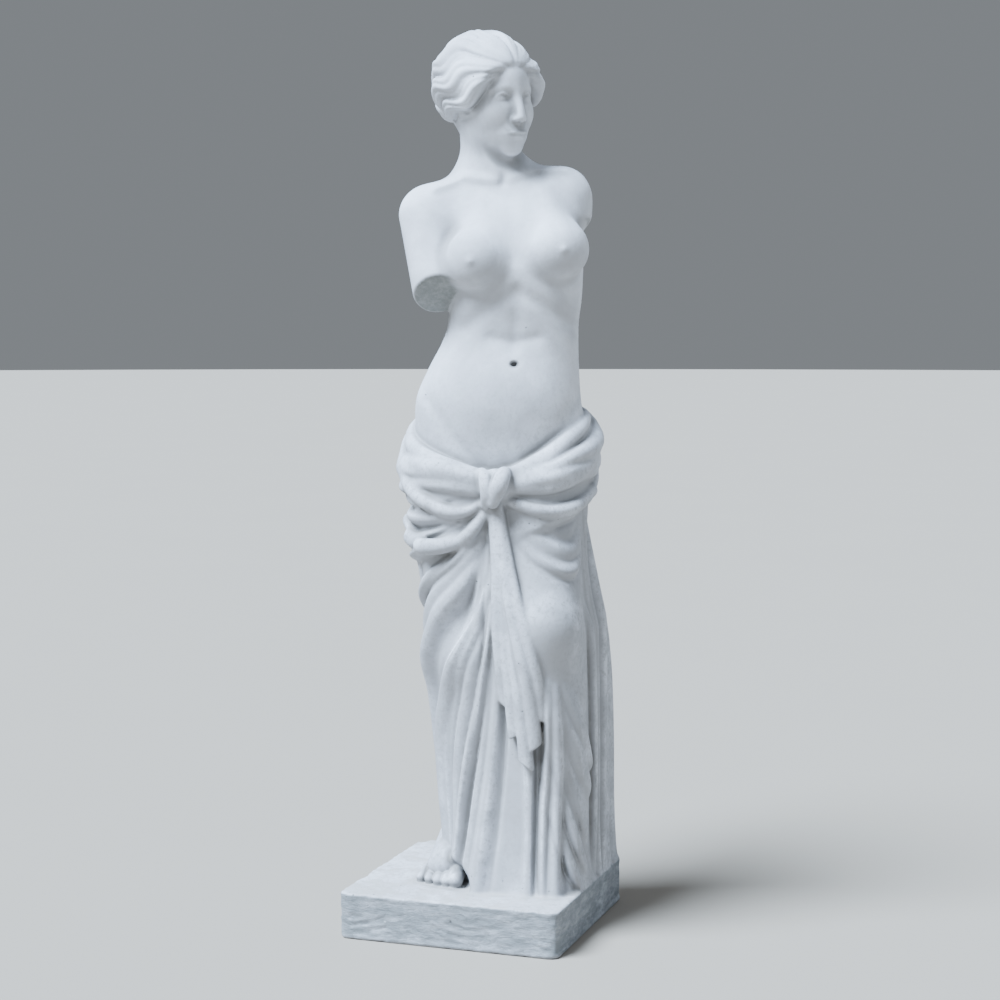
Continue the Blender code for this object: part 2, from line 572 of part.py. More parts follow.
def dress(skirt):
    """All that is raised on the skirt: the mantle's thickness, the folds and the spread of the hem."""
    edge = spline(MANTLE_EDGE, 8)
    below = np.interp(np.degrees(skirt.bearing), edge[:, 0], edge[:, 1])[:, None] - skirt.height[None, :]
    band = np.clip(below / 0.008, 0, 1) * np.clip((0.078 - below) / 0.012, 0, 1)
    near_knot = np.clip(np.abs(skirt.bearing - KNOT_BEARING) / 0.5, 0, 1)[:, None]
    skirt.relief += MANTLE_THICKNESS * band * near_knot
    for seed, (first, last, count, width, height, taper) in enumerate(FOLDS):
        skirt.family(first, last, count, width, height, taper, seed)
    lobes = 0.65 + 0.35 * np.sin(11 * skirt.bearing + 1) * np.sin(4 * skirt.bearing)
    skirt.soften(6)
    skirt.relief += HEM_SPREAD * lobes[:, None] * np.exp(-np.maximum(skirt.height, 0) / 0.016)[None, :]


def mantle(p, skirt):
    """The rolled edge of the mantle around the hips, its knot and the folds that hang from it."""
    edge = spline(MANTLE_EDGE, 8)
    d = np.full(len(p), FAR, np.float32)
    bearing = np.radians(edge[:, 0])
    away = np.minimum(1, 2.2 * np.sin((bearing - KNOT_BEARING) / 2) ** 2)
    for drop, thin, thick, out, phase in ROLLS:
        z = edge[:, 1] - drop * (0.30 + 0.70 * away) + 0.006 * away * np.sin(2 * bearing + phase)
        radius = (thin + (thick - thin) * away) * (1 + 0.22 * np.sin(3 * bearing + 2 * phase))
        path = path_over_plinth(on_axis(bearing, z, skirt.radius_at(bearing, z) + out * radius), radius)
        d = smooth_union(d, tube(p, np.column_stack([path, radius])), 0.004)
    for swag in SWAGS:
        row = spline(swag, 8)
        bearing = np.radians(row[:, 0])
        path = on_axis(bearing, row[:, 1], skirt.radius_at(bearing, row[:, 1]) + 0.15 * row[:, 2])
        path = path_over_plinth(path, row[:, 2])
        d = smooth_union(d, tube(p, np.column_stack([path, row[:, 2]])), 0.005)
    return smooth_union(d, knot(p, skirt), 0.004)


def knot(p, skirt):
    """The tucked knot in front, and the pleats that fall from it between the legs."""
    at, height = np.array([KNOT_BEARING]), np.array([KNOT_HEIGHT])
    middle = on_axis(at, height, skirt.radius_at(at, height) + 0.006)[0]
    d = ellipsoid(p, middle, (0.020, 0.015, 0.019))
    for loop in KNOT_LOOPS:
        row = [tuple(middle + np.array(step[:3])) + (step[3],) for step in loop]
        d = smooth_union(d, tube(p, spline(row, 5)), 0.002)
    for k, (degrees, foot_height, radius) in enumerate(PLEATS):
        z = np.linspace(KNOT_HEIGHT - 0.008, foot_height, 28)
        share = (KNOT_HEIGHT - z) / (KNOT_HEIGHT - foot_height)
        spread = np.minimum(1, 0.30 + 0.80 * share)
        bearing = np.radians(-8 + (degrees + 8) * spread + 1.2 * np.sin(5 * share + k))
        out = np.pad(skirt.radius_at(bearing, z), 5, mode="edge")
        out = np.convolve(out, np.full(11, 1 / 11), mode="valid") + 0.003 + 0.003 * (k % 2)
        path = on_axis(bearing, z, out)
        pleat = tube(p, np.column_stack([path, radius * (0.65 + 0.40 * share)]))
        hem = (p - path[-1].astype(np.float32)) @ np.float32((0.6 if k % 2 else -0.6, 0.0, -0.8))
        d = smooth_union(d, smooth_cut(pleat, -hem, 0.002), 0.002)
    return d


def foot(p):
    """The front of her right foot, with its toes, on the plinth."""
    d = capsule(p, (-0.026, 0.030, 0.038), (-0.047, -0.026, 0.018), 0.028, 0.020)
    for k, thick in enumerate((0.0092, 0.0068, 0.0064, 0.0060, 0.0055)):
        along = 0.0102 * k
        start = (-0.031 - 0.9 * along, -0.028 + 0.003 * k, thick + 0.005)
        tip = (-0.034 - along, -0.060 + 0.0032 * k**1.5, thick - 0.0005)
        d = smooth_union(d, capsule(p, start, tip, thick + 0.0005, thick), 0.0015)
    return d


def cloth(p, skirt):
    """The skirt below the mantle's edge, kept over the plinth and lifted off the foot."""
    out, bearing = around_axis(p)
    z = p[:, 2]
    edge = spline(MANTLE_EDGE, 8)
    top = np.interp(np.degrees(bearing), edge[:, 0], edge[:, 1])
    wall = 0.75 * (out - skirt.radius_at(bearing, z))
    d = np.maximum(np.maximum(wall, z - top), CLOTH_FOOT - z).astype(np.float32)
    d = over_plinth(p, d, 0.002, 0.002)
    return smooth_cut(d, ellipsoid(p, (-0.050, -0.066, 0.0), (0.035, 0.046, 0.034)), 0.006)


SKIRT = SkirtMap(AROUND_SAMPLES, UP_SAMPLES)
dress(SKIRT)


def figure(p):
    """Distance to the whole figure, in shares of its height."""
    p = p.astype(np.float32)
    d = np.full(len(p), FAR, np.float32)
    mid = (p[:, 2] > 0.36) & (p[:, 2] < 0.95)
    d[mid] = torso(p[mid])
    low = p[:, 2] < 0.60
    d[low] = smooth_union(d[low], cloth(p[low], SKIRT), 0.003)
    band = (p[:, 2] > 0.09) & (p[:, 2] < 0.60)
    d[band] = smooth_union(d[band], mantle(p[band], SKIRT), 0.004)
    ground = p[:, 2] < 0.09
    d[ground] = smooth_union(d[ground], foot(p[ground]), 0.003)
    high = p[:, 2] > 0.80
    d[high] = smooth_union(d[high], head(p[high]), 0.012)
    return d


def carve(step):
    """Points and four-sided faces of the figure's surface, in metres, cut at this step."""
    block = 4
    low, high = np.array(FIGURE_REACH) * FIGURE_HEIGHT
    blocks = np.ceil((high - low) / (step * block)).astype(int)
    # A coarse look first, so that only the blocks near the surface are cut finely
    centres = [low[k] + step * (block * np.arange(blocks[k]) + (block - 1) / 2) for k in range(3)]
    at = np.stack(np.meshgrid(*centres, indexing="ij"), axis=-1).reshape(-1, 3) / FIGURE_HEIGHT
    rough = figure(at).reshape(blocks)
    close = np.abs(rough) < 2.4 * block * step / FIGURE_HEIGHT
    grid = rough.repeat(block, 0).repeat(block, 1).repeat(block, 2)
    inner = np.stack(np.meshgrid(*[np.arange(block)] * 3, indexing="ij"), axis=-1).reshape(-1, 3)
    which = np.argwhere(close)
    for some in np.array_split(which, max(1, len(which) // 20000)):
        cells = (some[:, None, :] * block + inner).reshape(-1, 3)
        grid[cells[:, 0], cells[:, 1], cells[:, 2]] = figure((low + cells * step) / FIGURE_HEIGHT)
    stone = openvdb.FloatGrid(FAR)
    stone.copyFromArray(np.ascontiguousarray(grid))
    points, _, faces = stone.convertToPolygons(0.0, 0.0)
    return points * step + low, faces


def mesh_object(name, points, faces, collection):
    mesh = bpy.data.meshes.new(name)
    mesh.from_pydata(points.tolist(), [], faces.tolist())
    obj = bpy.data.objects.new(name, mesh)
    collection.objects.link(obj)
    return obj


def cast_stone():
    material = bpy.data.materials.new("cast stone")
    material.use_nodes = True
    shader = material.node_tree.nodes["Principled BSDF"]
    shader.inputs["Base Color"].default_value = STONE_COLOUR
    shader.inputs["Roughness"].default_value = STONE_ROUGHNESS
    shader.inputs["Metallic"].default_value = 0.0
    return material


def plinth(collection):
    """The low square plinth, its edges a little broken."""
    x, y = PLINTH_WIDTH / 2, PLINTH_DEPTH / 2
    points = np.array([(i, j, k) for k in (0, PLINTH_HEIGHT) for i, j in ((-x, -y), (x, -y), (x, y), (-x, y))])
    faces = np.array([(3, 2, 1, 0), (4, 5, 6, 7), (0, 1, 5, 4), (1, 2, 6, 5), (2, 3, 7, 6), (3, 0, 4, 7)])
    block = mesh_object("statue", points, faces, collection)
    edges = block.modifiers.new("broken edges", "BEVEL")
    edges.width = PLINTH_EDGE
    edges.segments = 1
    return block


def main():
    for obj in list(bpy.data.objects):
        bpy.data.objects.remove(obj)
    scene = bpy.context.scene
    parts = bpy.data.collections.new("goddess statue")
    guides = bpy.data.collections.new("joined into the plinth")
    scene.collection.children.link(parts)
    scene.collection.children.link(guides)
    points, faces = carve(CARVING_STEP)
    points = points @ np.array(turned(FIGURE_TURN, 2)).T + (0, 0, PLINTH_HEIGHT)
    body = mesh_object("figure", points, faces, guides)
    body.hide_render = True
    body.display_type = "WIRE"
    thin = body.modifiers.new("fewer faces", "DECIMATE")
    thin.ratio = FIGURE_TRIANGLES / (2 * len(faces))
    statue = plinth(parts)
    join = statue.modifiers.new("figure", "BOOLEAN")
    join.object = body
    join.operation = "UNION"
    join.solver = "EXACT"
    statue.data.materials.append(cast_stone())


if __name__ == "__main__":
    main()
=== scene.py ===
"""Half-draped classical goddess in weathered white cast stone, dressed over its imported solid.

The figure is carved as a signed distance field, negative inside the stone, in shares of its own height, and
is meshed together with its plinth. Figure frame: x to the viewer's right, y away from the viewer, z up from
the top of the plinth.
"""

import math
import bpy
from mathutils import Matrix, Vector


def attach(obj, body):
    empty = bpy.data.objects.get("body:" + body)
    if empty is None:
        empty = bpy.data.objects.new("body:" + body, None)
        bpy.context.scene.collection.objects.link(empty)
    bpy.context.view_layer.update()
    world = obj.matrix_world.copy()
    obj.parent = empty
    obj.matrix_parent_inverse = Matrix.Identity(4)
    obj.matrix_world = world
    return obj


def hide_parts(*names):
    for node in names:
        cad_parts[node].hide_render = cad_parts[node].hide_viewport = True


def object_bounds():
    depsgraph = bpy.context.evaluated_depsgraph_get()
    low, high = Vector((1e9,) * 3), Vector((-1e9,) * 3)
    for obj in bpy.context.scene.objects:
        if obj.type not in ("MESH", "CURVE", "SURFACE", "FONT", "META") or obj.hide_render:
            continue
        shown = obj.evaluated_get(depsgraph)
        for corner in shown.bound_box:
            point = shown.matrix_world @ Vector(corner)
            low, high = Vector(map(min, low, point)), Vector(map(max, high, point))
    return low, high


bl_info = {
    "name": "Goddess garden statue",
    "version": (1, 0, 0),
    "blender": (4, 5, 0),
    "location": "View3D > Sidebar > Statue",
    "description": "A half-draped classical goddess in weathered cast stone, and its studio stage",
    "category": "Add Mesh",
}

import bpy
import numpy as np
import openvdb
from mathutils import Vector

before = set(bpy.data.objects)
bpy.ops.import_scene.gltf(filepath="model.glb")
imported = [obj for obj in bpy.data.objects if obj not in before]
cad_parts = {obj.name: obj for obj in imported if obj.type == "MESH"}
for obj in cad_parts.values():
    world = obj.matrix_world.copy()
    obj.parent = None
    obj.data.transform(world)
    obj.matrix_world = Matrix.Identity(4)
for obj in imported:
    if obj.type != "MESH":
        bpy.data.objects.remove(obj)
CAD_LOW, CAD_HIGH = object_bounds()

# Sizes of the whole, in metres
FIGURE_HEIGHT = 1.143
PLINTH_WIDTH = CAD_HIGH[0] - CAD_LOW[0]
PLINTH_DEPTH = CAD_HIGH[1] - CAD_LOW[1]
PLINTH_HEIGHT = 0.062
FIGURE_TURN = math.radians(19.5)
TURN_COS, TURN_SIN = math.cos(FIGURE_TURN), math.sin(FIGURE_TURN)

# In shares of the figure's height: half the plinth, the skirt's top and foot, the foot of its map, and a
# distance that is out of reach of any form
PLINTH_REACH = PLINTH_WIDTH / 2 / FIGURE_HEIGHT
DRAPE_TOP = 0.56
CLOTH_FOOT = -0.025
MAP_FOOT = -0.03
FAR = 0.2
# A search for the nearest line starts from a distance above all real ones
UNREACHED = 9.0
# Samples of the skirt's map, the radius at which its bearings count as lengths, and the skirt's least radius
AROUND_SAMPLES = 900
UP_SAMPLES = 560
MAP_RADIUS = 0.1
LEAST_RADIUS = 0.085

# Lines along which the flesh rises or sinks: on the front or not, points in x and z, width, rise
MODELLING = (
    (True, ((0.0365, 0.690), (0.0360, 0.660), (0.0345, 0.628)), 0.0085, -0.0024),
    (True, ((-0.022, 0.648), (0.004, 0.672), (0.036, 0.688), (0.067, 0.675), (0.096, 0.655)),
     0.0090, -0.0027),
    (True, ((0.008, 0.637), (0.034, 0.632), (0.060, 0.637)), 0.0075, -0.0024),
    (True, ((-0.064, 0.565), (-0.036, 0.522), (-0.006, 0.490)), 0.0080, -0.0024),
    (True, ((0.112, 0.575), (0.086, 0.530), (0.052, 0.495)), 0.0080, -0.0024),
    (True, ((0.0290, 0.796), (0.0365, 0.728)), 0.0100, -0.0018),
    (True, ((0.014, 0.817), (-0.022, 0.8225), (-0.056, 0.811)), 0.0060, 0.0022),
    (True, ((0.029, 0.820), (0.062, 0.833), (0.094, 0.833)), 0.0060, 0.0022),
    (True, ((0.0215, 0.8195), (0.0210, 0.8165)), 0.0068, -0.0034),
    (True, ((0.018, 0.822), (-0.004, 0.856), (-0.022, 0.885)), 0.0065, 0.0026),
    (True, ((0.006, 0.595), (0.002, 0.560)), 0.0200, 0.0014),
    (False, ((0.026, 0.815), (0.037, 0.690), (0.022, 0.575)), 0.0105, -0.0036),
    (False, ((-0.030, 0.795), (-0.016, 0.742)), 0.0190, 0.0052),
    (False, ((0.092, 0.808), (0.080, 0.752)), 0.0190, 0.0052),
)
# Each breast's x and height, and the x of the line between them
BREASTS = ((-0.010, 0.722), (0.084, 0.735))
CHEST_MIDDLE = 0.037

# The bare body, as level sections: height, centre x, centre y, half width, half depth, squareness
BODY_SECTIONS = (
    (0.38, 0.019, 0.012, 0.080, 0.060, 2.2),
    (0.45, 0.021, 0.014, 0.092, 0.070, 2.2),
    (0.50, 0.020, 0.013, 0.098, 0.071, 2.3),
    (0.531, 0.019, 0.010, 0.100, 0.067, 2.3),
    (0.566, 0.0175, 0.007, 0.0965, 0.061, 2.3),
    (0.601, 0.023, 0.005, 0.088, 0.055, 2.3),
    (0.631, 0.030, 0.003, 0.080, 0.050, 2.3),
    (0.654, 0.034, 0.002, 0.0765, 0.049, 2.3),
    (0.683, 0.036, 0.001, 0.0780, 0.052, 2.3),
    (0.724, 0.034, 0.003, 0.0815, 0.056, 2.3),
    (0.759, 0.032, 0.006, 0.0815, 0.054, 2.3),
    (0.785, 0.029, 0.009, 0.079, 0.048, 2.2),
    (0.805, 0.025, 0.013, 0.066, 0.040, 2.1),
    (0.822, 0.016, 0.015, 0.044, 0.034, 2.0),
    (0.842, 0.008, 0.014, 0.0335, 0.0325, 2.0),
    (0.87, 0.004, 0.011, 0.0320, 0.0335, 2.0),
    (0.91, 0.002, 0.009, 0.0320, 0.0335, 2.0),
)
# How far the body's sections slope, as rise to the right over run: height, slope
BODY_SLOPES = ((0.38, -0.06), (0.52, -0.06), (0.64, 0.02), (0.74, 0.12),
               (0.80, 0.13), (0.85, 0.03), (0.90, 0.00))

# What is left of both arms: shoulder, a point down the arm, radii there,
# a point on the break, and the way the break faces
ARMS = (
    ((-0.066, 0.010, 0.779), (-0.051, -0.036, 0.676), (0.033, 0.0285),
     (-0.047, -0.036, 0.692), (0.10, -0.70, -0.71)),
    ((0.092, 0.012, 0.801), (0.096, 0.006, 0.735), (0.030, 0.0260),
     (0.097, 0.006, 0.766), (0.40, -0.30, -0.87)),
)
NECK_ROOT = (0.010, 0.020, 0.826)
GIRDLE_ENDS = ((-0.056, 0.012, 0.783), (0.088, 0.014, 0.803))

# The cloth around both legs, as level sections
CLOTH_SECTIONS = (
    (-0.02, 0.070, 0.013, 0.108, 0.104, 3.9),
    (0.02, 0.069, 0.013, 0.106, 0.101, 3.8),
    (0.08, 0.069, 0.014, 0.101, 0.093, 3.5),
    (0.16, 0.068, 0.015, 0.104, 0.085, 3.1),
    (0.25, 0.060, 0.014, 0.103, 0.078, 2.8),
    (0.34, 0.043, 0.012, 0.097, 0.071, 2.4),
    (0.43, 0.029, 0.014, 0.096, 0.076, 2.3),
    (0.49, 0.024, 0.014, 0.097, 0.076, 2.3),
    (0.545, 0.019, 0.012, 0.095, 0.066, 2.3),
)

# Standing and bent leg under the cloth, each a thigh and a shin: from, to, radius at either end
LEGS = (
    (((-0.020, 0.012, 0.45), (-0.012, -0.012, 0.27), 0.061, 0.046),
     ((-0.012, -0.012, 0.27), (0.004, 0.010, 0.03), 0.045, 0.034)),
    (((0.050, 0.002, 0.445), (0.064, -0.068, 0.305), 0.056, 0.043),
     ((0.064, -0.068, 0.305), (0.068, -0.036, 0.03), 0.042, 0.037)),
)

# The head: where it is, how tall it is from chin to crown, and how it turns
HEAD_CENTRE = (0.007, 0.000, 0.912)
HEAD_TALL = 0.132
HEAD_YAW = math.radians(38)
HEAD_TILT = math.radians(-3)
HEAD_NOD = math.radians(3)


def length(v):
    """The length of each row."""
    return np.sqrt((v * v).sum(axis=1))


def ellipsoid(p, centre, radii):
    """Near enough the distance to an ellipsoid with its axes along x, y and z."""
    q = (p - np.float32(centre)) / np.float32(radii)
    near = length(q)
    return near * (near - 1) / (length(q / np.float32(radii)) + 1e-6)


def capsule(p, start, end, start_radius, end_radius):
    """Distance to a straight limb that tapers from one ball to another."""
    start = np.float32(start)
    run = np.float32(end) - start
    off = p - start
    along = np.clip(off @ run / (run @ run + 1e-12), 0, 1)
    return length(off - along[:, None] * run) - (start_radius + along * (end_radius - start_radius))


def smooth_union(a, b, blend):
    """Both forms as one, rounded where they meet."""
    mix = np.clip(0.5 + 0.5 * (b - a) / blend, 0, 1)
    return b * (1 - mix) + a * mix - blend * mix * (1 - mix)


def smooth_cut(a, cutter, blend):
    """The form less the cutter, rounded along the cut."""
    return -smooth_union(-a, cutter, blend)


def spline(points, steps=10):
    """A smooth row of points through the given ones, which may carry radii as further columns."""
    pts = np.array(points, float)
    ends = np.vstack([2 * pts[0] - pts[1], pts, 2 * pts[-1] - pts[-2]])
    row = []
    for i in range(len(pts) - 1):
        a, b, c, d = ends[i : i + 4]
        for t in np.arange(steps) / steps:
            bend = (2 * a - 5 * b + 4 * c - d) * t * t + (3 * b - a - 3 * c + d) * t**3
            row.append(0.5 * (2 * b + (c - a) * t + bend))
    row.append(pts[-1])
    return np.array(row)


def tube(p, path, reach=0.03):
    """Distance to a rope of stone along a path of x, y, z, radius. It is only exact within reach of it."""
    path = np.float32(path)
    low = path[:, :3].min(axis=0) - path[:, 3].max() - reach
    high = path[:, :3].max(axis=0) + path[:, 3].max() + reach
    close = ((p > low) & (p < high)).all(axis=1)
    out = np.full(len(p), FAR, np.float32)
    q = p[close]
    best = np.full(len(q), FAR, np.float32)
    for a, b in zip(path[:-1], path[1:]):
        best = np.minimum(best, capsule(q, a[:3], b[:3], a[3], b[3]))
    out[close] = best
    return out


def section_table(sections):
    """Smoothly filled-in sections, close enough together to be read by height."""
    return spline(sections, 12)


def loft(p, table, slopes=None):
    """Distance across to a stack of rounded sections, each a superellipse."""
    z = p[:, 2]
    if slopes is not None:
        middle = np.interp(z, table[:, 0], table[:, 1])
        rows = np.array(slopes)
        z = z - np.interp(z, rows[:, 0], rows[:, 1]) * (p[:, 0] - middle)
    centre_x, centre_y, wide, deep, power = (np.interp(z, table[:, 0], table[:, k]) for k in range(1, 6))
    dx = p[:, 0] - centre_x
    dy = p[:, 1] - centre_y
    size = (np.abs(dx / wide) ** power + np.abs(dy / deep) ** power) ** (1 / power)
    out = np.hypot(dx, dy)
    flat = np.maximum(z - table[-1, 0], table[0, 0] - z)
    side = np.where(size > 0.05, out * (1 - 1 / np.maximum(size, 0.05)), -np.minimum(wide, deep))
    return np.maximum(side, flat).astype(np.float32)


BODY_TABLE = section_table(BODY_SECTIONS)
CLOTH_TABLE = section_table(CLOTH_SECTIONS)


def breast(p, d, x, z):
    """One breast, running up into the chest."""
    full = ellipsoid(p, (x, -0.040, z), (0.0325, 0.0285, 0.0305))
    outward = x - CHEST_MIDDLE
    above = capsule(p, (x, -0.038, z + 0.010), (x - 0.30 * outward, -0.016, z + 0.062), 0.024, 0.014)
    d = smooth_union(d, smooth_union(full, above, 0.03), 0.012)
    tip = (x + 0.12 * outward, -0.0683, z + 0.002)
    return smooth_union(d, ellipsoid(p, tip, (0.0046, 0.0052, 0.0046)), 0.004)


def broken_arm(p, shoulder, stump, radii, break_point, break_facing):
    """A shoulder with what is left of its arm, cut off flat at the break."""
    arm = capsule(p, shoulder, stump, *radii)
    beyond = (p - np.float32(break_point)) @ np.float32(break_facing)
    return smooth_cut(arm, -beyond, 0.004)


def modelling(p, d, front, path, width, rise):
    """Raises (or sinks, if negative) the flesh along a line drawn in x and z on the front or the back."""
    gap = np.full(len(p), UNREACHED, np.float32)
    for (x0, z0), (x1, z1) in zip(path[:-1], path[1:]):
        run_x, run_z = x1 - x0, z1 - z0
        t = ((p[:, 0] - x0) * run_x + (p[:, 2] - z0) * run_z) / (run_x**2 + run_z**2 + 1e-9)
        t = np.clip(t, 0, 1)
        gap = np.minimum(gap, (p[:, 0] - x0 - t * run_x) ** 2 + (p[:, 2] - z0 - t * run_z) ** 2)
    side = np.clip((-p[:, 1] if front else p[:, 1]) * 60 + 0.5, 0, 1)
    return d - rise * side * np.exp(-gap / width**2)


def torso(p):
    """The bare body from the hips to the neck, with both broken arms."""
    d = loft(p, BODY_TABLE, BODY_SLOPES)
    # Shoulder girdle, from the neck out to each shoulder
    for end in GIRDLE_ENDS:
        d = smooth_union(d, capsule(p, NECK_ROOT, end, 0.024, 0.027), 0.030)
    # The arms melt into the shoulders, and stand off more sharply below the armpits
    joint = np.interp(p[:, 2], (0.71, 0.78), (0.005, 0.022)).astype(np.float32)
    for shoulder, stump, radii, break_point, break_facing in ARMS:
        d = smooth_union(d, broken_arm(p, shoulder, stump, radii, break_point, break_facing), joint)
    for x, z in BREASTS:
        d = breast(p, d, x, z)
    # Lower belly, and the navel
    d = smooth_union(d, ellipsoid(p, (0.026, -0.024, 0.562), (0.056, 0.034, 0.050)), 0.03)
    d = smooth_cut(d, ellipsoid(p, (0.034, -0.057, 0.607), (0.0044, 0.0130, 0.0032)), 0.0035)
    for front, path, width, rise in MODELLING:
        d = modelling(p, d, front, path, width, rise)
    return d


# Lines of the face in the head's own frame, in shares of its height from eye level: x, y, z and radius
UPPER_LID = (
    (0.054, -0.338, -0.006, 0.006),
    (0.088, -0.354, 0.030, 0.010),
    (0.132, -0.352, 0.042, 0.011),
    (0.178, -0.326, 0.024, 0.009),
    (0.208, -0.292, -0.010, 0.006),
)
LOWER_LID = (
    (0.058, -0.338, -0.012, 0.004),
    (0.098, -0.346, -0.038, 0.006),
    (0.142, -0.340, -0.042, 0.006),
    (0.200, -0.298, -0.012, 0.004),
)
BROW = ((0.030, -0.354, 0.072, 0.016), (0.11, -0.348, 0.096, 0.015), (0.205, -0.278, 0.066, 0.014))
NOSE = (
    (0, -0.328, 0.130, 0.042),
    (0, -0.368, 0.020, 0.038),
    (0, -0.412, -0.090, 0.038),
    (0, -0.428, -0.164, 0.042),
)
LIP_LINE = ((0, -0.416, -0.312, 0.004), (0.040, -0.409, -0.310, 0.004), (0.078, -0.382, -0.313, 0.002))


def head_points(p):
    """Points in the head's own frame: x to its left, y to its back, z up, with chin to crown as 1."""
    q = (p - np.float32(HEAD_CENTRE)) / HEAD_TALL
    turn = turned(HEAD_YAW, 2) @ turned(HEAD_TILT, 1) @ turned(HEAD_NOD, 0)
    return (q @ np.float32(turn)).astype(np.float32)


def turned(angle, axis):
    """A rotation matrix about x, y or z."""
    c, s = math.cos(angle), math.sin(angle)
    i, j = [(1, 2), (2, 0), (0, 1)][axis]
    m = np.eye(3)
    m[i, i], m[j, j], m[i, j], m[j, i] = c, c, -s, s
    return m


def mirrored(q):
    """The same points with both sides of the face folded onto one."""
    out = q.copy()
    out[:, 0] = np.abs(out[:, 0])
    return out


def face(q):
    """Head and features without the hair, in shares of the head's height from eye level."""
    m = mirrored(q)
    d = ellipsoid(q, (0, 0.06, 0.12), (0.330, 0.42, 0.365))
    d = smooth_union(d, ellipsoid(q, (0, -0.110, -0.110), (0.290, 0.272, 0.300)), 0.10)
    # Jaw and chin
    d = smooth_union(d, ellipsoid(q, (0, -0.160, -0.300), (0.205, 0.205, 0.150)), 0.10)
    d = smooth_union(d, ellipsoid(q, (0, -0.296, -0.424), (0.086, 0.072, 0.068)), 0.11)
    # Forehead and cheeks
    d = smooth_union(d, ellipsoid(q, (0, -0.170, 0.150), (0.220, 0.215, 0.190)), 0.08)
    d = smooth_union(d, ellipsoid(m, (0.155, -0.225, -0.130), (0.100, 0.105, 0.110)), 0.08)
    # Sockets below the brow, then each eye between its lids
    d = smooth_cut(d, ellipsoid(m, (0.116, -0.428, 0.008), (0.078, 0.084, 0.042)), 0.05)
    d = smooth_union(d, ellipsoid(m, (0.128, -0.278, -0.002), (0.080, 0.072, 0.056)), 0.010)
    for lid in (UPPER_LID, LOWER_LID):
        d = smooth_union(d, tube(m, spline(lid, 6), 0.1), 0.010)
    d = smooth_union(d, tube(m, spline(BROW, 6), 0.1), 0.05)
    # Nose
    d = smooth_union(d, tube(q, spline(NOSE, 6), 0.15), 0.050)
    d = smooth_union(d, ellipsoid(m, (0.042, -0.398, -0.180), (0.028, 0.040, 0.027)), 0.030)
    d = smooth_union(d, ellipsoid(q, (0, -0.405, -0.200), (0.016, 0.040, 0.018)), 0.020)
    d = smooth_cut(d, ellipsoid(m, (0.024, -0.424, -0.210), (0.010, 0.016, 0.007)), 0.012)
    # Mouth
    d = smooth_union(d, ellipsoid(q, (0, -0.318, -0.300), (0.125, 0.074, 0.090)), 0.06)
    d = smooth_union(d, ellipsoid(m, (0.030, -0.380, -0.293), (0.062, 0.030, 0.019)), 0.014)
    d = smooth_union(d, ellipsoid(q, (0, -0.378, -0.335), (0.062, 0.032, 0.023)), 0.014)
    d = smooth_cut(d, tube(m, spline(LIP_LINE, 6), 0.1), 0.010)
    d = smooth_cut(d, ellipsoid(q, (0, -0.425, -0.250), (0.012, 0.020, 0.026)), 0.02)
    # Ear lobe
    return smooth_union(d, ellipsoid(m, (0.300, 0.020, -0.110), (0.028, 0.045, 0.060)), 0.02)


# The axis that the locks of hair turn around, from before the brow to the knot of hair behind: a point on
# it, the way along it and the way up from it
LOCKS_START = (0, -0.52, 0.30)
LOCKS_ALONG = (0, 0.93, -0.36)
LOCKS_UP = (0, 0.36, 0.93)


def hair(q):
    """Hair parted in the middle and swept back in waves to a low knot behind."""
    m = mirrored(q)
    d = ellipsoid(q, (0, 0.10, 0.165), (0.425, 0.490, 0.425))
    d = smooth_union(d, ellipsoid(m, (0.22, -0.07, 0.12), (0.22, 0.30, 0.24)), 0.10)
    # The face stays clear of it, below a line from the parting to the ear
    edge = (m[:, 1] + 0.385) * 0.80 + (m[:, 2] - 0.300) * 0.60 + 0.45 * m[:, 0] ** 2
    nape = (m[:, 2] + 0.30) + 0.3 * (m[:, 1] - 0.3)
    d = smooth_cut(d, edge, 0.05)
    d = smooth_cut(d, nape, 0.06)
    # Locks run as lines of longitude about their axis
    off = q - np.float32(LOCKS_START)
    along = off @ np.float32(LOCKS_ALONG)
    around = np.abs(np.arctan2(off[:, 0], off @ np.float32(LOCKS_UP))) + 0.10 * off[:, 0]
    around = around + 0.10 * np.sin(13 * along + 2.5 * around) + 0.05 * np.sin(3 * around)
    locks = np.abs(np.sin(around * 5.6 + 0.4))
    strands = np.abs(np.sin(around * 16.8 + 4 * along + 1))
    fade = np.clip(along * 4 - 0.5, 0, 1)
    d = d - fade * (0.042 * (locks - 0.6) + 0.015 * (strands - 0.6))
    parting = np.clip((q[:, 2] - 0.25) * 12, 0, 1) * np.clip(0.6 - 3 * q[:, 1], 0, 1)
    d = d + 0.014 * parting * np.exp(-((q[:, 0] / 0.020) ** 2))
    bun = ellipsoid(q, (0, 0.53, -0.02), (0.165, 0.13, 0.155))
    turn = np.arctan2(q[:, 0], q[:, 2] + 0.02)
    twist = np.abs(np.sin(2.5 * turn + 16 * length(q - np.float32((0, 0.63, -0.02)))))
    return smooth_union(d, bun - 0.022 * (twist - 0.5), 0.04)


def head(p):
    """The head with its hair, in shares of the figure's height."""
    q = head_points(p)
    d = smooth_union(face(q), hair(q), 0.012)
    return d * HEAD_TALL


def over_plinth(p, d, margin, blend):
    """Keeps a form within the plinth's front, back and right sides, which stand turned under the figure."""
    reach = PLINTH_REACH - margin
    right = p[:, 0] * TURN_COS - p[:, 1] * TURN_SIN - reach
    ahead = np.abs(p[:, 0] * TURN_SIN + p[:, 1] * TURN_COS) - reach
    return -smooth_union(-d, -np.maximum(right, ahead).astype(np.float32), blend)


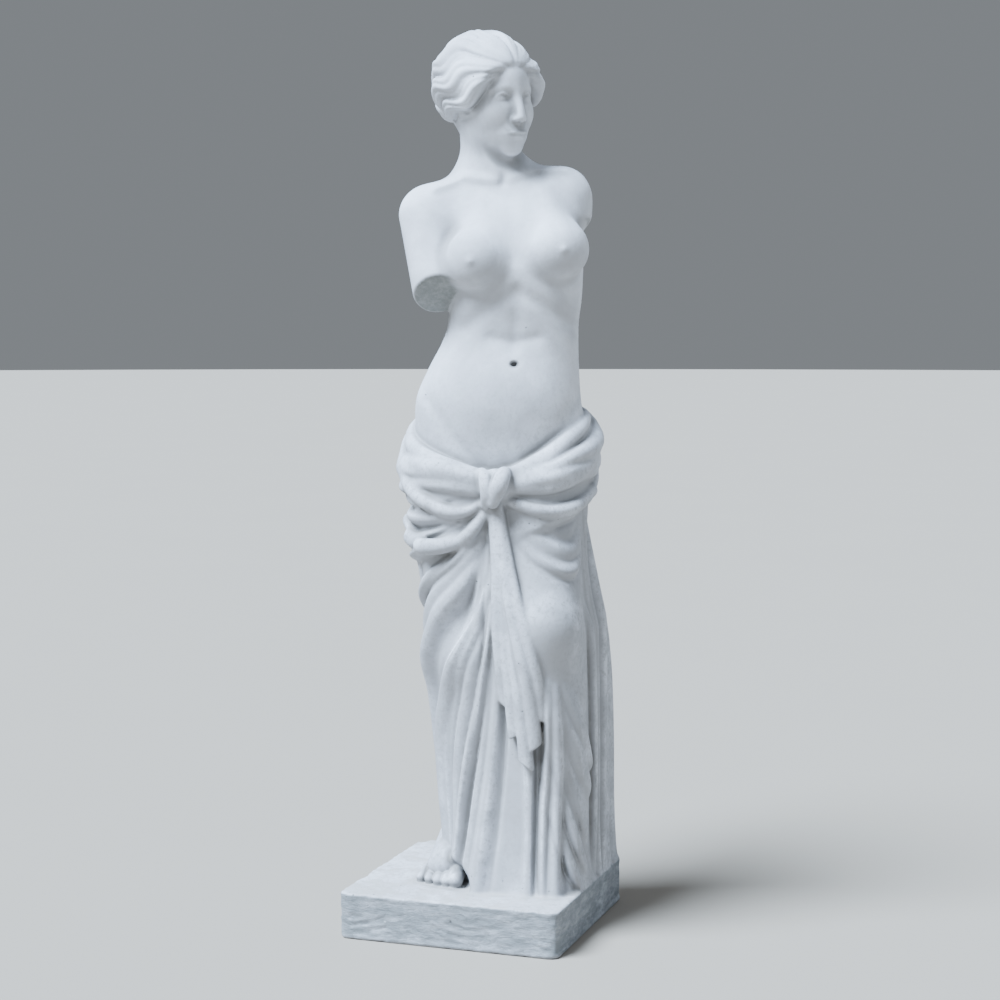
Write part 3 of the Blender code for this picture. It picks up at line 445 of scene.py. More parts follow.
def path_over_plinth(path, radius):
    """Draws a roll of cloth in where it would reach past the plinth's right side."""
    reach = PLINTH_REACH - 0.001
    over = np.maximum(0, path[:, 0] * TURN_COS - path[:, 1] * TURN_SIN + radius - reach)
    return path - np.column_stack([over * TURN_COS, -over * TURN_SIN, 0 * over])


def legs(p):
    """Both legs under the cloth, and the hull of cloth around them."""
    margin = np.interp(p[:, 2], (0.30, 0.42), (0.010, 0.034))
    d = over_plinth(p, loft(p, CLOTH_TABLE), margin, 0.02)
    for thigh, shin in LEGS:
        leg = smooth_union(capsule(p, *thigh), capsule(p, *shin), 0.02)
        d = smooth_union(d, leg, 0.03)
    return d


def around_axis(p):
    """Distance from the axis of the skirt, and the bearing in radians from the front, plus to the right."""
    dx = p[:, 0] - np.interp(p[:, 2], CLOTH_TABLE[:, 0], CLOTH_TABLE[:, 1])
    dy = p[:, 1] - np.interp(p[:, 2], CLOTH_TABLE[:, 0], CLOTH_TABLE[:, 2])
    return np.hypot(dx, dy), np.arctan2(dx, -dy)


def on_axis(bearing, z, radius):
    """The point at this bearing and distance from the axis of the skirt."""
    x = np.interp(z, CLOTH_TABLE[:, 0], CLOTH_TABLE[:, 1]) + radius * np.sin(bearing)
    y = np.interp(z, CLOTH_TABLE[:, 0], CLOTH_TABLE[:, 2]) - radius * np.cos(bearing)
    return np.stack([x, y, z], axis=-1)


def smooth_base(p):
    """The plain form under the folds: the body and the hull of cloth around the legs."""
    return smooth_union(legs(p), loft(p, BODY_TABLE, BODY_SLOPES), 0.02)


def base_radius(bearing, z):
    """How far out the plain form under the folds reaches, found by stepping in from outside."""
    radius = np.full(np.shape(bearing), 0.22)
    for _ in range(14):
        p = on_axis(bearing, z, radius).reshape(-1, 3).astype(np.float32)
        radius = radius - 0.8 * smooth_base(p).reshape(radius.shape)
    return radius


class SkirtMap:
    """A map of the skirt's surface, by bearing and height, on which folds are raised and hollows sunk."""

    def __init__(self, around, up):
        self.bearing = np.linspace(-math.pi, math.pi, around, endpoint=False)
        self.height = np.linspace(MAP_FOOT, DRAPE_TOP, up)
        coarse_bearing = np.linspace(-math.pi, math.pi, 121)
        coarse_height = np.linspace(MAP_FOOT, DRAPE_TOP, 100)
        b, z = np.meshgrid(coarse_bearing, coarse_height, indexing="ij")
        coarse = base_radius(b, z)
        by_height = np.array([np.interp(self.height, coarse_height, row) for row in coarse])
        self.base = np.array([np.interp(self.bearing, coarse_bearing, col) for col in by_height.T]).T
        self.relief = np.zeros_like(self.base)

    def near_path(self, path, reach):
        """The part of the map within reach of a path, with distance, side and share of the way along it."""
        bearing, height = np.radians(path[:, 0]), path[:, 1]
        spread = reach / LEAST_RADIUS
        rows = np.where((self.bearing > bearing.min() - spread) & (self.bearing < bearing.max() + spread))[0]
        columns = np.where((self.height > height.min() - reach) & (self.height < height.max() + reach))[0]
        if not len(rows) or not len(columns):
            return None
        u = self.bearing[rows][:, None] * MAP_RADIUS + 0 * self.height[columns]
        v = self.height[columns][None, :] + 0 * u
        best = np.full(u.shape, UNREACHED)
        side = np.zeros(u.shape)
        share = np.zeros(u.shape)
        ends = np.stack([bearing * MAP_RADIUS, height], axis=1)
        steps = len(ends) - 1
        for i in range(steps):
            run = ends[i + 1] - ends[i]
            du, dv = u - ends[i, 0], v - ends[i, 1]
            t = np.clip((du * run[0] + dv * run[1]) / (run @ run + 1e-12), 0, 1)
            gap = np.hypot(du - t * run[0], dv - t * run[1])
            closer = gap < best
            best = np.where(closer, gap, best)
            side = np.where(closer, np.sign(run[0] * dv - run[1] * du), side)
            share = np.where(closer, (i + t) / steps, share)
        return np.ix_(rows, columns), best, side, share

    def ridge(self, path, width, height, taper=0.25, lean=0.0):
        """A rounded fold along a path of bearings in degrees and heights, with a crease on one side."""
        for turn in (0, 360, -360):
            found = self.near_path(path + np.array((turn, 0)), 2.2 * width)
            if found is None:
                continue
            window, gap, side, share = found
            across = gap / (width * (1 + lean * side))
            fade = np.clip(np.minimum(share, 1 - share) / taper, 0, 1)
            fade = fade * (2 - fade)
            rise = height * np.clip(1 - across**2, 0, 1) ** 1.15 * fade
            self.relief[window] = np.maximum(self.relief[window], rise - 0.25 * height)
            beside = (gap - width) / (0.22 * width)
            behind = side * (1 if lean < 0 else -1) > 0
            self.relief[window] -= 0.22 * height * fade * np.exp(-beside**2) * behind

    def family(self, first, last, count, width, height, taper=0.2, seed=0):
        """Folds that pass over from one curve to another, none quite like the next."""
        first, last = spline(first, 8), spline(last, 8)
        for k in range(count):
            share = k / max(count - 1, 1)
            vary = [math.sin(seed * 1.7 + k * rate) for rate in (2.4, 4.1, 5.3, 3.3)]
            share = min(1, max(0, share + 0.25 * vary[0] / count))
            path = first + (last - first) * share
            path[:, 0] += 1.5 * vary[3] * np.sin(np.linspace(0, 5, len(path)) + k)
            start = int(0.5 + (0.06 + 0.06 * vary[1]) * len(path))
            thick, tall = width * (1 + 0.28 * vary[2]), height * (1 + 0.35 * vary[1])
            self.ridge(path[start:], thick, tall, taper, 0.30 * vary[3])

    def soften(self, rounds):
        """Rounds off the sharpest creases and edges of the folds."""
        relief = np.maximum(self.relief, -CREASE_DEPTH)
        for _ in range(rounds):
            relief = 0.5 * relief + 0.25 * (np.roll(relief, 1, 0) + np.roll(relief, -1, 0))
            above = relief[:, [*range(1, relief.shape[1]), -1]]
            below = relief[:, [0, *range(relief.shape[1] - 1)]]
            relief = 0.7 * relief + 0.15 * (above + below)
        self.relief = relief

    def radius_at(self, bearing, z):
        """The surface's distance from the axis, read off the map between its samples."""
        total = self.base + self.relief
        around, up = total.shape
        a = (np.asarray(bearing) + math.pi) / (2 * math.pi) * around
        h = np.clip((np.asarray(z) - self.height[0]) / (self.height[1] - self.height[0]), 0, up - 1.001)
        i, j = np.floor(a).astype(int), np.floor(h).astype(int)
        s, t = a - i, h - j
        i, k = i % around, (i + 1) % around
        near = total[i, j] * (1 - t) + total[i, j + 1] * t
        far = total[k, j] * (1 - t) + total[k, j + 1] * t
        return near * (1 - s) + far * s


# Rolls of the mantle's edge: how far below it, radius near the knot and away from it, how far out, phase
ROLLS = (
    (0.000, 0.0090, 0.0108, -0.20, 0.0),
    (0.017, 0.0085, 0.0104, 0.00, 1.7),
    (0.035, 0.0085, 0.0114, -0.05, 3.2),
    (0.054, 0.0075, 0.0106, -0.25, 4.6),
)
# Loose swags under the rolls and strands across them: bearing in degrees, height, radius
SWAGS = (
    ((-12, 0.450, 0.006), (-36, 0.408, 0.0085), (-66, 0.398, 0.0100), (-105, 0.425, 0.0095),
     (-160, 0.480, 0.006)),
    ((-4, 0.454, 0.006), (28, 0.440, 0.0075), (62, 0.450, 0.0090), (100, 0.478, 0.0085),
     (150, 0.500, 0.006)),
    ((-120, 0.548, 0.005), (-92, 0.500, 0.0085), (-62, 0.455, 0.0095), (-36, 0.438, 0.0070),
     (-14, 0.455, 0.004)),
    ((118, 0.560, 0.005), (88, 0.522, 0.0080), (60, 0.485, 0.0085), (30, 0.466, 0.0065),
     (0, 0.468, 0.004)),
    ((-168, 0.545, 0.005), (-140, 0.505, 0.0085), (-112, 0.470, 0.0090), (-80, 0.462, 0.0060),
     (-60, 0.466, 0.004)),
)
# Cloth turned over itself in the knot: steps from its middle, radius
KNOT_LOOPS = (
    ((0.012, 0.006, 0.014, 0.006), (0.008, -0.009, 0.012, 0.009), (0.003, -0.017, 0.000, 0.010),
     (-0.004, -0.012, -0.018, 0.008)),
    ((-0.016, 0.002, 0.014, 0.006), (-0.012, -0.010, 0.006, 0.008), (-0.010, -0.012, -0.010, 0.008),
     (-0.012, -0.004, -0.022, 0.006)),
)
# Pleats that hang from the knot: bearing at the hem in degrees, height of the hem, radius
PLEATS = (
    (-21, 0.215, 0.0080),
    (-16, 0.185, 0.0085),
    (-11, 0.150, 0.0085),
    (-6, 0.172, 0.0085),
    (-1.5, 0.205, 0.0080),
)

# Where the rolled edge of the mantle runs around the hips: bearing in degrees, height
MANTLE_EDGE = (
    (-180, 0.560), (-135, 0.545), (-90, 0.518), (-45, 0.494), (-8, 0.478),
    (30, 0.495), (60, 0.520), (90, 0.542), (135, 0.557), (180, 0.560),
)
KNOT_DEGREES = -8
KNOT_BEARING = math.radians(KNOT_DEGREES)
KNOT_HEIGHT = 0.470
MANTLE_THICKNESS = 0.0085
HEM_SPREAD = 0.013
# How deep a crease may cut into the plain form, and how often the folds' edges are rounded off
CREASE_DEPTH = 0.0070
SOFTENING = 3

# Families of folds on the skirt: first curve, last curve, how many, width, height, taper.
# The curves are bearings in degrees and heights.
FOLDS = (
    # Fan from the knot around the standing leg
    (((-14, 0.455), (-50, 0.432), (-95, 0.430), (-140, 0.460), (-172, 0.490)),
     ((-16, 0.445), (-34, 0.365), (-62, 0.300), (-84, 0.190), (-90, -0.03)), 6, 0.0125, 0.0135, 0.25),
    (((-15, 0.430), (-30, 0.340), (-54, 0.260), (-74, 0.150), (-80, -0.03)),
     ((-14, 0.400), (-20, 0.310), (-29, 0.210), (-36, 0.100), (-40, -0.03)), 6, 0.0118, 0.0140, 0.2),
    # Drawn tight over the raised thigh
    (((2, 0.455), (35, 0.455), (70, 0.475), (105, 0.500)),
     ((3, 0.430), (14, 0.385), (38, 0.365), (66, 0.40)), 4, 0.0100, 0.0075, 0.4),
    # From the knee to the ground, on both its sides
    (((-5, 0.270), (-7, 0.190), (-9, 0.090), (-11, -0.03)),
     ((11, 0.300), (9, 0.190), (7, 0.080), (7, -0.03)), 3, 0.0125, 0.0150, 0.25),
    (((56, 0.360), (60, 0.260), (63, 0.130), (65, -0.03)),
     ((67, 0.480), (69, 0.320), (71, 0.150), (73, -0.03)), 2, 0.0120, 0.0115, 0.3),
    # Slack folds that swing from inside the knee across the shin
    (((8, 0.300), (17, 0.235), (32, 0.180), (50, 0.145), (62, 0.140)),
     ((2, 0.165), (8, 0.085), (17, 0.025), (28, -0.010), (36, -0.03)), 5, 0.0135, 0.0120, 0.55),
    # Upright flutes at her left side and behind
    (((76, 0.545), (77, 0.300), (78, 0.150), (79, -0.03)),
     ((262, 0.545), (264, 0.300), (266, 0.150), (268, -0.03)), 14, 0.0135, 0.0110, 0.12),
)


def dress(skirt):
    """All that is raised on the skirt: the mantle's thickness, the folds and the spread of the hem."""
    edge = spline(MANTLE_EDGE, 8)
    below = np.interp(np.degrees(skirt.bearing), edge[:, 0], edge[:, 1])[:, None] - skirt.height[None, :]
    band = np.clip(below / 0.008, 0, 1) * np.clip((0.078 - below) / 0.012, 0, 1)
    near_knot = np.clip(np.abs(skirt.bearing - KNOT_BEARING) / 0.5, 0, 1)[:, None]
    skirt.relief += MANTLE_THICKNESS * band * near_knot
    for seed, (first, last, count, width, height, taper) in enumerate(FOLDS):
        skirt.family(first, last, count, width, height, taper, seed)
    lobes = 0.65 + 0.35 * np.sin(11 * skirt.bearing + 1) * np.sin(4 * skirt.bearing)
    skirt.soften(SOFTENING)
    skirt.relief += HEM_SPREAD * lobes[:, None] * np.exp(-np.maximum(skirt.height, 0) / 0.016)[None, :]


def mantle(p, skirt):
    """The rolled edge of the mantle around the hips, its knot and the folds that hang from it."""
    edge = spline(MANTLE_EDGE, 8)
    d = np.full(len(p), FAR, np.float32)
    bearing = np.radians(edge[:, 0])
    away = np.minimum(1, 2.2 * np.sin((bearing - KNOT_BEARING) / 2) ** 2)
    for drop, thin, thick, out, phase in ROLLS:
        z = edge[:, 1] - drop * (0.30 + 0.70 * away) + 0.006 * away * np.sin(2 * bearing + phase)
        radius = (thin + (thick - thin) * away) * (1 + 0.22 * np.sin(3 * bearing + 2 * phase))
        path = path_over_plinth(on_axis(bearing, z, skirt.radius_at(bearing, z) + out * radius), radius)
        d = smooth_union(d, tube(p, np.column_stack([path, radius])), 0.004)
    for swag in SWAGS:
        row = spline(swag, 8)
        bearing = np.radians(row[:, 0])
        path = on_axis(bearing, row[:, 1], skirt.radius_at(bearing, row[:, 1]) + 0.15 * row[:, 2])
        path = path_over_plinth(path, row[:, 2])
        d = smooth_union(d, tube(p, np.column_stack([path, row[:, 2]])), 0.005)
    return smooth_union(d, knot(p, skirt), 0.004)


def knot(p, skirt):
    """The tucked knot in front, and the pleats that fall from it between the legs."""
    at, height = np.array([KNOT_BEARING]), np.array([KNOT_HEIGHT])
    middle = on_axis(at, height, skirt.radius_at(at, height) + 0.006)[0]
    d = ellipsoid(p, middle, (0.020, 0.015, 0.019))
    for loop in KNOT_LOOPS:
        row = [tuple(middle + np.array(step[:3])) + (step[3],) for step in loop]
        d = smooth_union(d, tube(p, spline(row, 5)), 0.002)
    for k, (degrees, foot_height, radius) in enumerate(PLEATS):
        z = np.linspace(KNOT_HEIGHT - 0.008, foot_height, 28)
        share = (KNOT_HEIGHT - z) / (KNOT_HEIGHT - foot_height)
        spread = np.minimum(1, 0.30 + 0.80 * share)
        fan = KNOT_DEGREES + (degrees - KNOT_DEGREES) * spread
        bearing = np.radians(fan + 1.2 * np.sin(5 * share + k))
        out = np.pad(skirt.radius_at(bearing, z), 5, mode="edge")
        out = np.convolve(out, np.full(11, 1 / 11), mode="valid") + 0.003 + 0.003 * (k % 2)
        path = on_axis(bearing, z, out)
        pleat = tube(p, np.column_stack([path, radius * (0.65 + 0.40 * share)]))
        hem = (p - path[-1].astype(np.float32)) @ np.float32((0.6 if k % 2 else -0.6, 0.0, -0.8))
        d = smooth_union(d, smooth_cut(pleat, -hem, 0.002), 0.002)
    return d


TOE_RADII = (0.0092, 0.0068, 0.0064, 0.0060, 0.0055)


def foot(p):
    """The front of her right foot, with its toes, on the plinth."""
    d = capsule(p, (-0.026, 0.030, 0.038), (-0.047, -0.026, 0.018), 0.028, 0.020)
    for k, thick in enumerate(TOE_RADII):
        along = 0.0102 * k
        start = (-0.031 - 0.9 * along, -0.028 + 0.003 * k, thick + 0.005)
        tip = (-0.034 - along, -0.060 + 0.0032 * k**1.5, thick - 0.0005)
        d = smooth_union(d, capsule(p, start, tip, thick + 0.0005, thick), 0.0015)
    return d


def cloth(p, skirt):
    """The skirt below the mantle's edge, kept over the plinth and lifted off the foot."""
    out, bearing = around_axis(p)
    z = p[:, 2]
    edge = spline(MANTLE_EDGE, 8)
    top = np.interp(np.degrees(bearing), edge[:, 0], edge[:, 1])
    wall = 0.75 * (out - skirt.radius_at(bearing, z))
    d = np.maximum(np.maximum(wall, z - top), CLOTH_FOOT - z).astype(np.float32)
    d = over_plinth(p, d, 0.002, 0.002)
    return smooth_cut(d, ellipsoid(p, (-0.050, -0.066, 0.0), (0.035, 0.046, 0.034)), 0.006)


SKIRT = SkirtMap(AROUND_SAMPLES, UP_SAMPLES)
dress(SKIRT)


def figure(p):
    """Distance to the whole figure. Each form is worked out only at the heights that it can reach."""
    p = p.astype(np.float32)
    d = np.full(len(p), FAR, np.float32)
    mid = (p[:, 2] > 0.36) & (p[:, 2] < 0.95)
    d[mid] = torso(p[mid])
    low = p[:, 2] < 0.60
    d[low] = smooth_union(d[low], cloth(p[low], SKIRT), 0.003)
    band = (p[:, 2] > 0.09) & (p[:, 2] < 0.60)
    d[band] = smooth_union(d[band], mantle(p[band], SKIRT), 0.004)
    ground = p[:, 2] < 0.09
    d[ground] = smooth_union(d[ground], foot(p[ground]), 0.003)
    high = p[:, 2] > 0.80
    d[high] = smooth_union(d[high], head(p[high]), 0.012)
    return d


def lumps(p, size):
    """A soft unevenness between -1 and 1, with bumps about this size across."""
    a, b, c = (p[:, k] / size for k in range(3))
    first = np.sin(2.1 * a + 1.3 * np.sin(1.7 * b)) * np.sin(1.9 * b + 1.1 * np.sin(2.3 * c + 1))
    second = np.sin(4.3 * c + 2 * np.sin(3.1 * a + 2)) * np.sin(3.7 * b + 1.4 * a)
    return 0.6 * first + 0.4 * second


def to_figure(p):
    """Turns points in metres into the figure's own frame and shares."""
    x = p[:, 0] * TURN_COS + p[:, 1] * TURN_SIN
    y = -p[:, 0] * TURN_SIN + p[:, 1] * TURN_COS
    return (np.column_stack([x, y, p[:, 2] - PLINTH_HEIGHT]) / FIGURE_HEIGHT).astype(np.float32)


# Trowel ribs on the plinth's sides: how high they reach, and how deep they are
RIBS_TOP = 0.044
RIB_DEPTH = 0.0014
# Pieces knocked off the plinth's top edge: where, and how big
CHIPS = (
    ((-0.1555, -0.060, 0.066), (0.009, 0.022, 0.011)),
    ((-0.1560, 0.020, 0.066), (0.008, 0.013, 0.009)),
    ((-0.045, -0.1570, 0.067), (0.016, 0.008, 0.009)),
    ((0.060, -0.1570, 0.066), (0.010, 0.007, 0.008)),
    ((0.1560, 0.105, 0.066), (0.009, 0.018, 0.010)),
    ((0.030, 0.1560, 0.067), (0.020, 0.008, 0.009)),
    ((-0.150, 0.150, 0.064), (0.014, 0.014, 0.010)),
)


def plinth_block(p, rounding):
    """Distance to the plinth, with sides ribbed by the trowel and worn, chipped edges."""
    half = np.float32((PLINTH_WIDTH / 2, PLINTH_DEPTH / 2, PLINTH_HEIGHT / 2))
    off = np.abs(p - np.float32((0, 0, PLINTH_HEIGHT / 2)))
    side = np.clip((off[:, 2] - half[2] + 0.004) / -0.004, 0, 1)
    dent = 0.0006 * (1 + lumps(p, 0.011)) + 0.0007 * side * (1 + lumps(p * np.float32((1, 1, 3)), 0.016))
    # Wavy ridges of mortar along the lower part of the sides
    x, y, z = p.T
    wave = 1.9 * np.sin(41 * x + 1.2 * np.sin(23 * y)) + 1.3 * np.sin(67 * y - 30 * x)
    ribs = np.abs(np.sin(z * 290 + wave)) * np.clip((RIBS_TOP - z) / 0.012, 0, 1)
    dent = dent + RIB_DEPTH * side * ribs * np.clip(0.5 + lumps(p, 0.045), 0, 1)
    core = off - half + rounding
    block = length(np.maximum(core, 0)) + np.minimum(core.max(axis=1), 0) - rounding + dent
    corner = off[:, 0] - half[0] + off[:, 1] - half[1] + 0.009 + 0.003 * lumps(p, 0.012)
    block = smooth_cut(block, -0.7 * corner, 0.006)
    for place, reach in CHIPS:
        block = smooth_cut(block, ellipsoid(p, place, reach) + 0.0015 * lumps(p, 0.006), 0.002)
    return block


def whole_stone(p, rounding):
    """Distance to the figure and its plinth as one stone, in metres."""
    d = (figure(to_figure(p)) * FIGURE_HEIGHT).astype(np.float32)
    low = p[:, 2] < PLINTH_HEIGHT + 0.03
    d[low] = smooth_union(d[low], plinth_block(p[low], rounding), 0.005)
    return d


# The stone is cut in blocks of so many samples a side, so many blocks at once, with room left around it
BLOCK = 4
BLOCKS_AT_ONCE = 12000
CARVE_MARGIN = 0.006


def carve(step, rounding):
    """Points and four-sided faces of the whole stone, cut at this step."""
    low = np.array(CAD_LOW) - CARVE_MARGIN
    blocks = np.ceil((np.array(CAD_HIGH) + CARVE_MARGIN - low) / (step * BLOCK)).astype(int)
    # A coarse look first, so that only the blocks near the surface are cut finely
    centres = [low[k] + step * (BLOCK * np.arange(blocks[k]) + (BLOCK - 1) / 2) for k in range(3)]
    at = np.stack(np.meshgrid(*centres, indexing="ij"), axis=-1).reshape(-1, 3).astype(np.float32)
    rough = whole_stone(at, rounding).reshape(blocks)
    close = np.argwhere(np.abs(rough) < 2.4 * BLOCK * step)
    grid = rough.repeat(BLOCK, 0).repeat(BLOCK, 1).repeat(BLOCK, 2)
    inner = np.stack(np.meshgrid(*[np.arange(BLOCK)] * 3, indexing="ij"), axis=-1).reshape(-1, 3)
    for some in np.array_split(close, max(1, len(close) // BLOCKS_AT_ONCE)):
        cells = (some[:, None, :] * BLOCK + inner).reshape(-1, 3)
        where = (low + cells * step).astype(np.float32)
        grid[cells[:, 0], cells[:, 1], cells[:, 2]] = whole_stone(where, rounding)
    stone = openvdb.FloatGrid(FAR)
    stone.copyFromArray(np.ascontiguousarray(grid))
    points, _, faces = stone.convertToPolygons(0.0, 0.0)
    return points * step + low, faces


def stone_mesh(name, points, faces):
    """A mesh of these points and faces."""
    mesh = bpy.data.meshes.new(name)
    mesh.vertices.add(len(points))
    mesh.vertices.foreach_set("co", points.astype(np.float32).ravel())
    mesh.loops.add(faces.size)
    mesh.loops.foreach_set("vertex_index", faces.astype(np.int32).ravel())
    mesh.polygons.add(len(faces))
    mesh.polygons.foreach_set("loop_start", np.arange(len(faces), dtype=np.int32) * faces.shape[1])
    mesh.update(calc_edges=True)
    return mesh


def thin_out(piece, triangles):
    """Merges faces where the surface is nearly flat, down to this many triangles."""
    bpy.ops.object.select_all(action="DESELECT")
    bpy.context.view_layer.objects.active = piece
    piece.select_set(True)
    fewer = piece.modifiers.new("fewer faces", "DECIMATE")
    fewer.ratio = triangles / (2 * len(piece.data.polygons))
    bpy.ops.object.modifier_apply(modifier=fewer.name)


def rows_of(entries, key):
    """Three numbers of each entry, such as a point's place, read in one go."""
    flat = np.empty(len(entries) * 3, np.float32)
    entries.foreach_get(key, flat)
    return flat.reshape(-1, 3)


def keep_in_box(mesh):
    """Draws in the few points that stand past the solid's box."""
    inside = np.clip(rows_of(mesh.vertices, "co"), np.float32(CAD_LOW), np.float32(CAD_HIGH))
    mesh.vertices.foreach_set("co", inside.ravel())
    mesh.update()


# How far out from a point the stone is felt for to tell how deep in a hollow it lies, and what each counts
HOLLOW_REACHES = ((0.003, 0.30), (0.008, 0.35), (0.020, 0.35))


def hollow_share(points, normals, rounding):
    """How much of the air in front of each point is filled by stone: the mask for the painted shade in
    hollows.
    """
    hollow = np.zeros(len(points))
    for reach, weight in HOLLOW_REACHES:
        clear = whole_stone(points + normals * np.float32(reach), rounding)
        hollow += weight * np.clip((reach - clear) / reach, 0, 1)
    return hollow


def broken_share(points, normals):
    """How much each point belongs to the broken face of either arm."""
    local = to_figure(points)
    facing = normals @ np.float32(turned(-FIGURE_TURN, 2)).T
    broken = np.zeros(len(points))
    for _, _, radii, break_point, break_facing in ARMS:
        off = local - np.float32(break_point)
        flat = facing @ np.float32(break_facing)
        on_face = (length(off) < 1.3 * radii[0]) & (np.abs(off @ np.float32(break_facing)) < 0.006)
        broken = np.maximum(broken, np.clip((flat - 0.80) * 8, 0, 1) * on_face)
    return broken


def mark_surface(mesh, rounding):
    """Stores on each point what the finish needs to know about its place."""
    points, normals = rows_of(mesh.vertices, "co"), rows_of(mesh.vertex_normals, "vector")
    height, upward = points[:, 2], normals[:, 2]
    outside = np.maximum(np.abs(points[:, 0]) - PLINTH_WIDTH / 2, np.abs(points[:, 1]) - PLINTH_DEPTH / 2)
    side = (height < PLINTH_HEIGHT - 0.001) * np.clip((0.6 - np.abs(upward)) * 4, 0, 1) * (outside > -0.012)
    top = np.clip(upward * 2 - 0.8, 0, 1) * np.clip((PLINTH_HEIGHT + 0.012 - height) / 0.008, 0, 1)
    marks = {
        "hollow": hollow_share(points, normals, rounding),
        "broken": broken_share(points, normals),
        "plinth_side": side,
        "plinth_top": top,
        # How much each point faces down: the mask for the undersides' dirt and painted shade
        "underside_dirt_and_shade": np.clip(0.45 - 0.75 * upward, 0, 1),
    }
    for name, values in marks.items():
        layer = mesh.attributes.new(name, "FLOAT", "POINT")
        layer.data.foreach_set("value", values.astype(np.float32))


class Nodes:
    """Short ways to lay out a material's nodes."""

    def __init__(self, name):
        self.material = bpy.data.materials.new(name)
        self.material.use_nodes = True
        self.tree = self.material.node_tree
        self.shader = self.tree.nodes["Principled BSDF"]

    def add(self, kind, **settings):
        node = self.tree.nodes.new(kind)
        for key, value in settings.items():
            setattr(node, key, value)
        return node

    def join(self, source, target):
        self.tree.links.new(source, target)

    def value(self, node, key, value):
        """Gives a socket a number or a colour, or joins it to another node."""
        if isinstance(value, bpy.types.NodeSocket):
            self.join(value, node.inputs[key])
        else:
            node.inputs[key].default_value = value

    def mark(self, name):
        return self.add("ShaderNodeAttribute", attribute_name=name).outputs["Fac"]

    def noise(self, where, scale, detail=4.0, rough=0.55, distort=0.0):
        node = self.add("ShaderNodeTexNoise")
        for key, value in zip(("Vector", "Scale", "Detail", "Roughness", "Distortion"),
                              (where, scale, detail, rough, distort)):
            self.value(node, key, value)
        return node.outputs["Fac"]

    def cells(self, where, scale):
        node = self.add("ShaderNodeTexVoronoi")
        self.join(where, node.inputs["Vector"])
        node.inputs["Scale"].default_value = scale
        return node.outputs["Distance"]

    def ramp(self, source, low, high, out_low=0.0, out_high=1.0):
        node = self.add("ShaderNodeMapRange", clamp=True, interpolation_type="SMOOTHSTEP")
        for key, value in zip(("Value", "From Min", "From Max", "To Min", "To Max"),
                              (source, low, high, out_low, out_high)):
            self.value(node, key, value)
        return node.outputs["Result"]

    def maths(self, operation, a, b):
        node = self.add("ShaderNodeMath", operation=operation)
        self.value(node, 0, a)
        self.value(node, 1, b)
        return node.outputs["Value"]

    def times(self, a, b):
        return self.maths("MULTIPLY", a, b)

    def blend(self, amount, a, b):
        """Goes from colour a to colour b. A Mix node's colour sockets are its inputs 6 and 7."""
        node = self.add("ShaderNodeMix", data_type="RGBA")
        for key, value in (("Factor", amount), (6, a), (7, b)):
            self.value(node, key, value)
        return node.outputs[2]

    def bump(self, height, distance, strength, below=None):
        node = self.add("ShaderNodeBump")
        self.join(height, node.inputs["Height"])
        node.inputs["Distance"].default_value = distance
        self.value(node, "Strength", strength)
        if below is not None:
            self.join(below, node.inputs["Normal"])
        return node.outputs["Normal"]


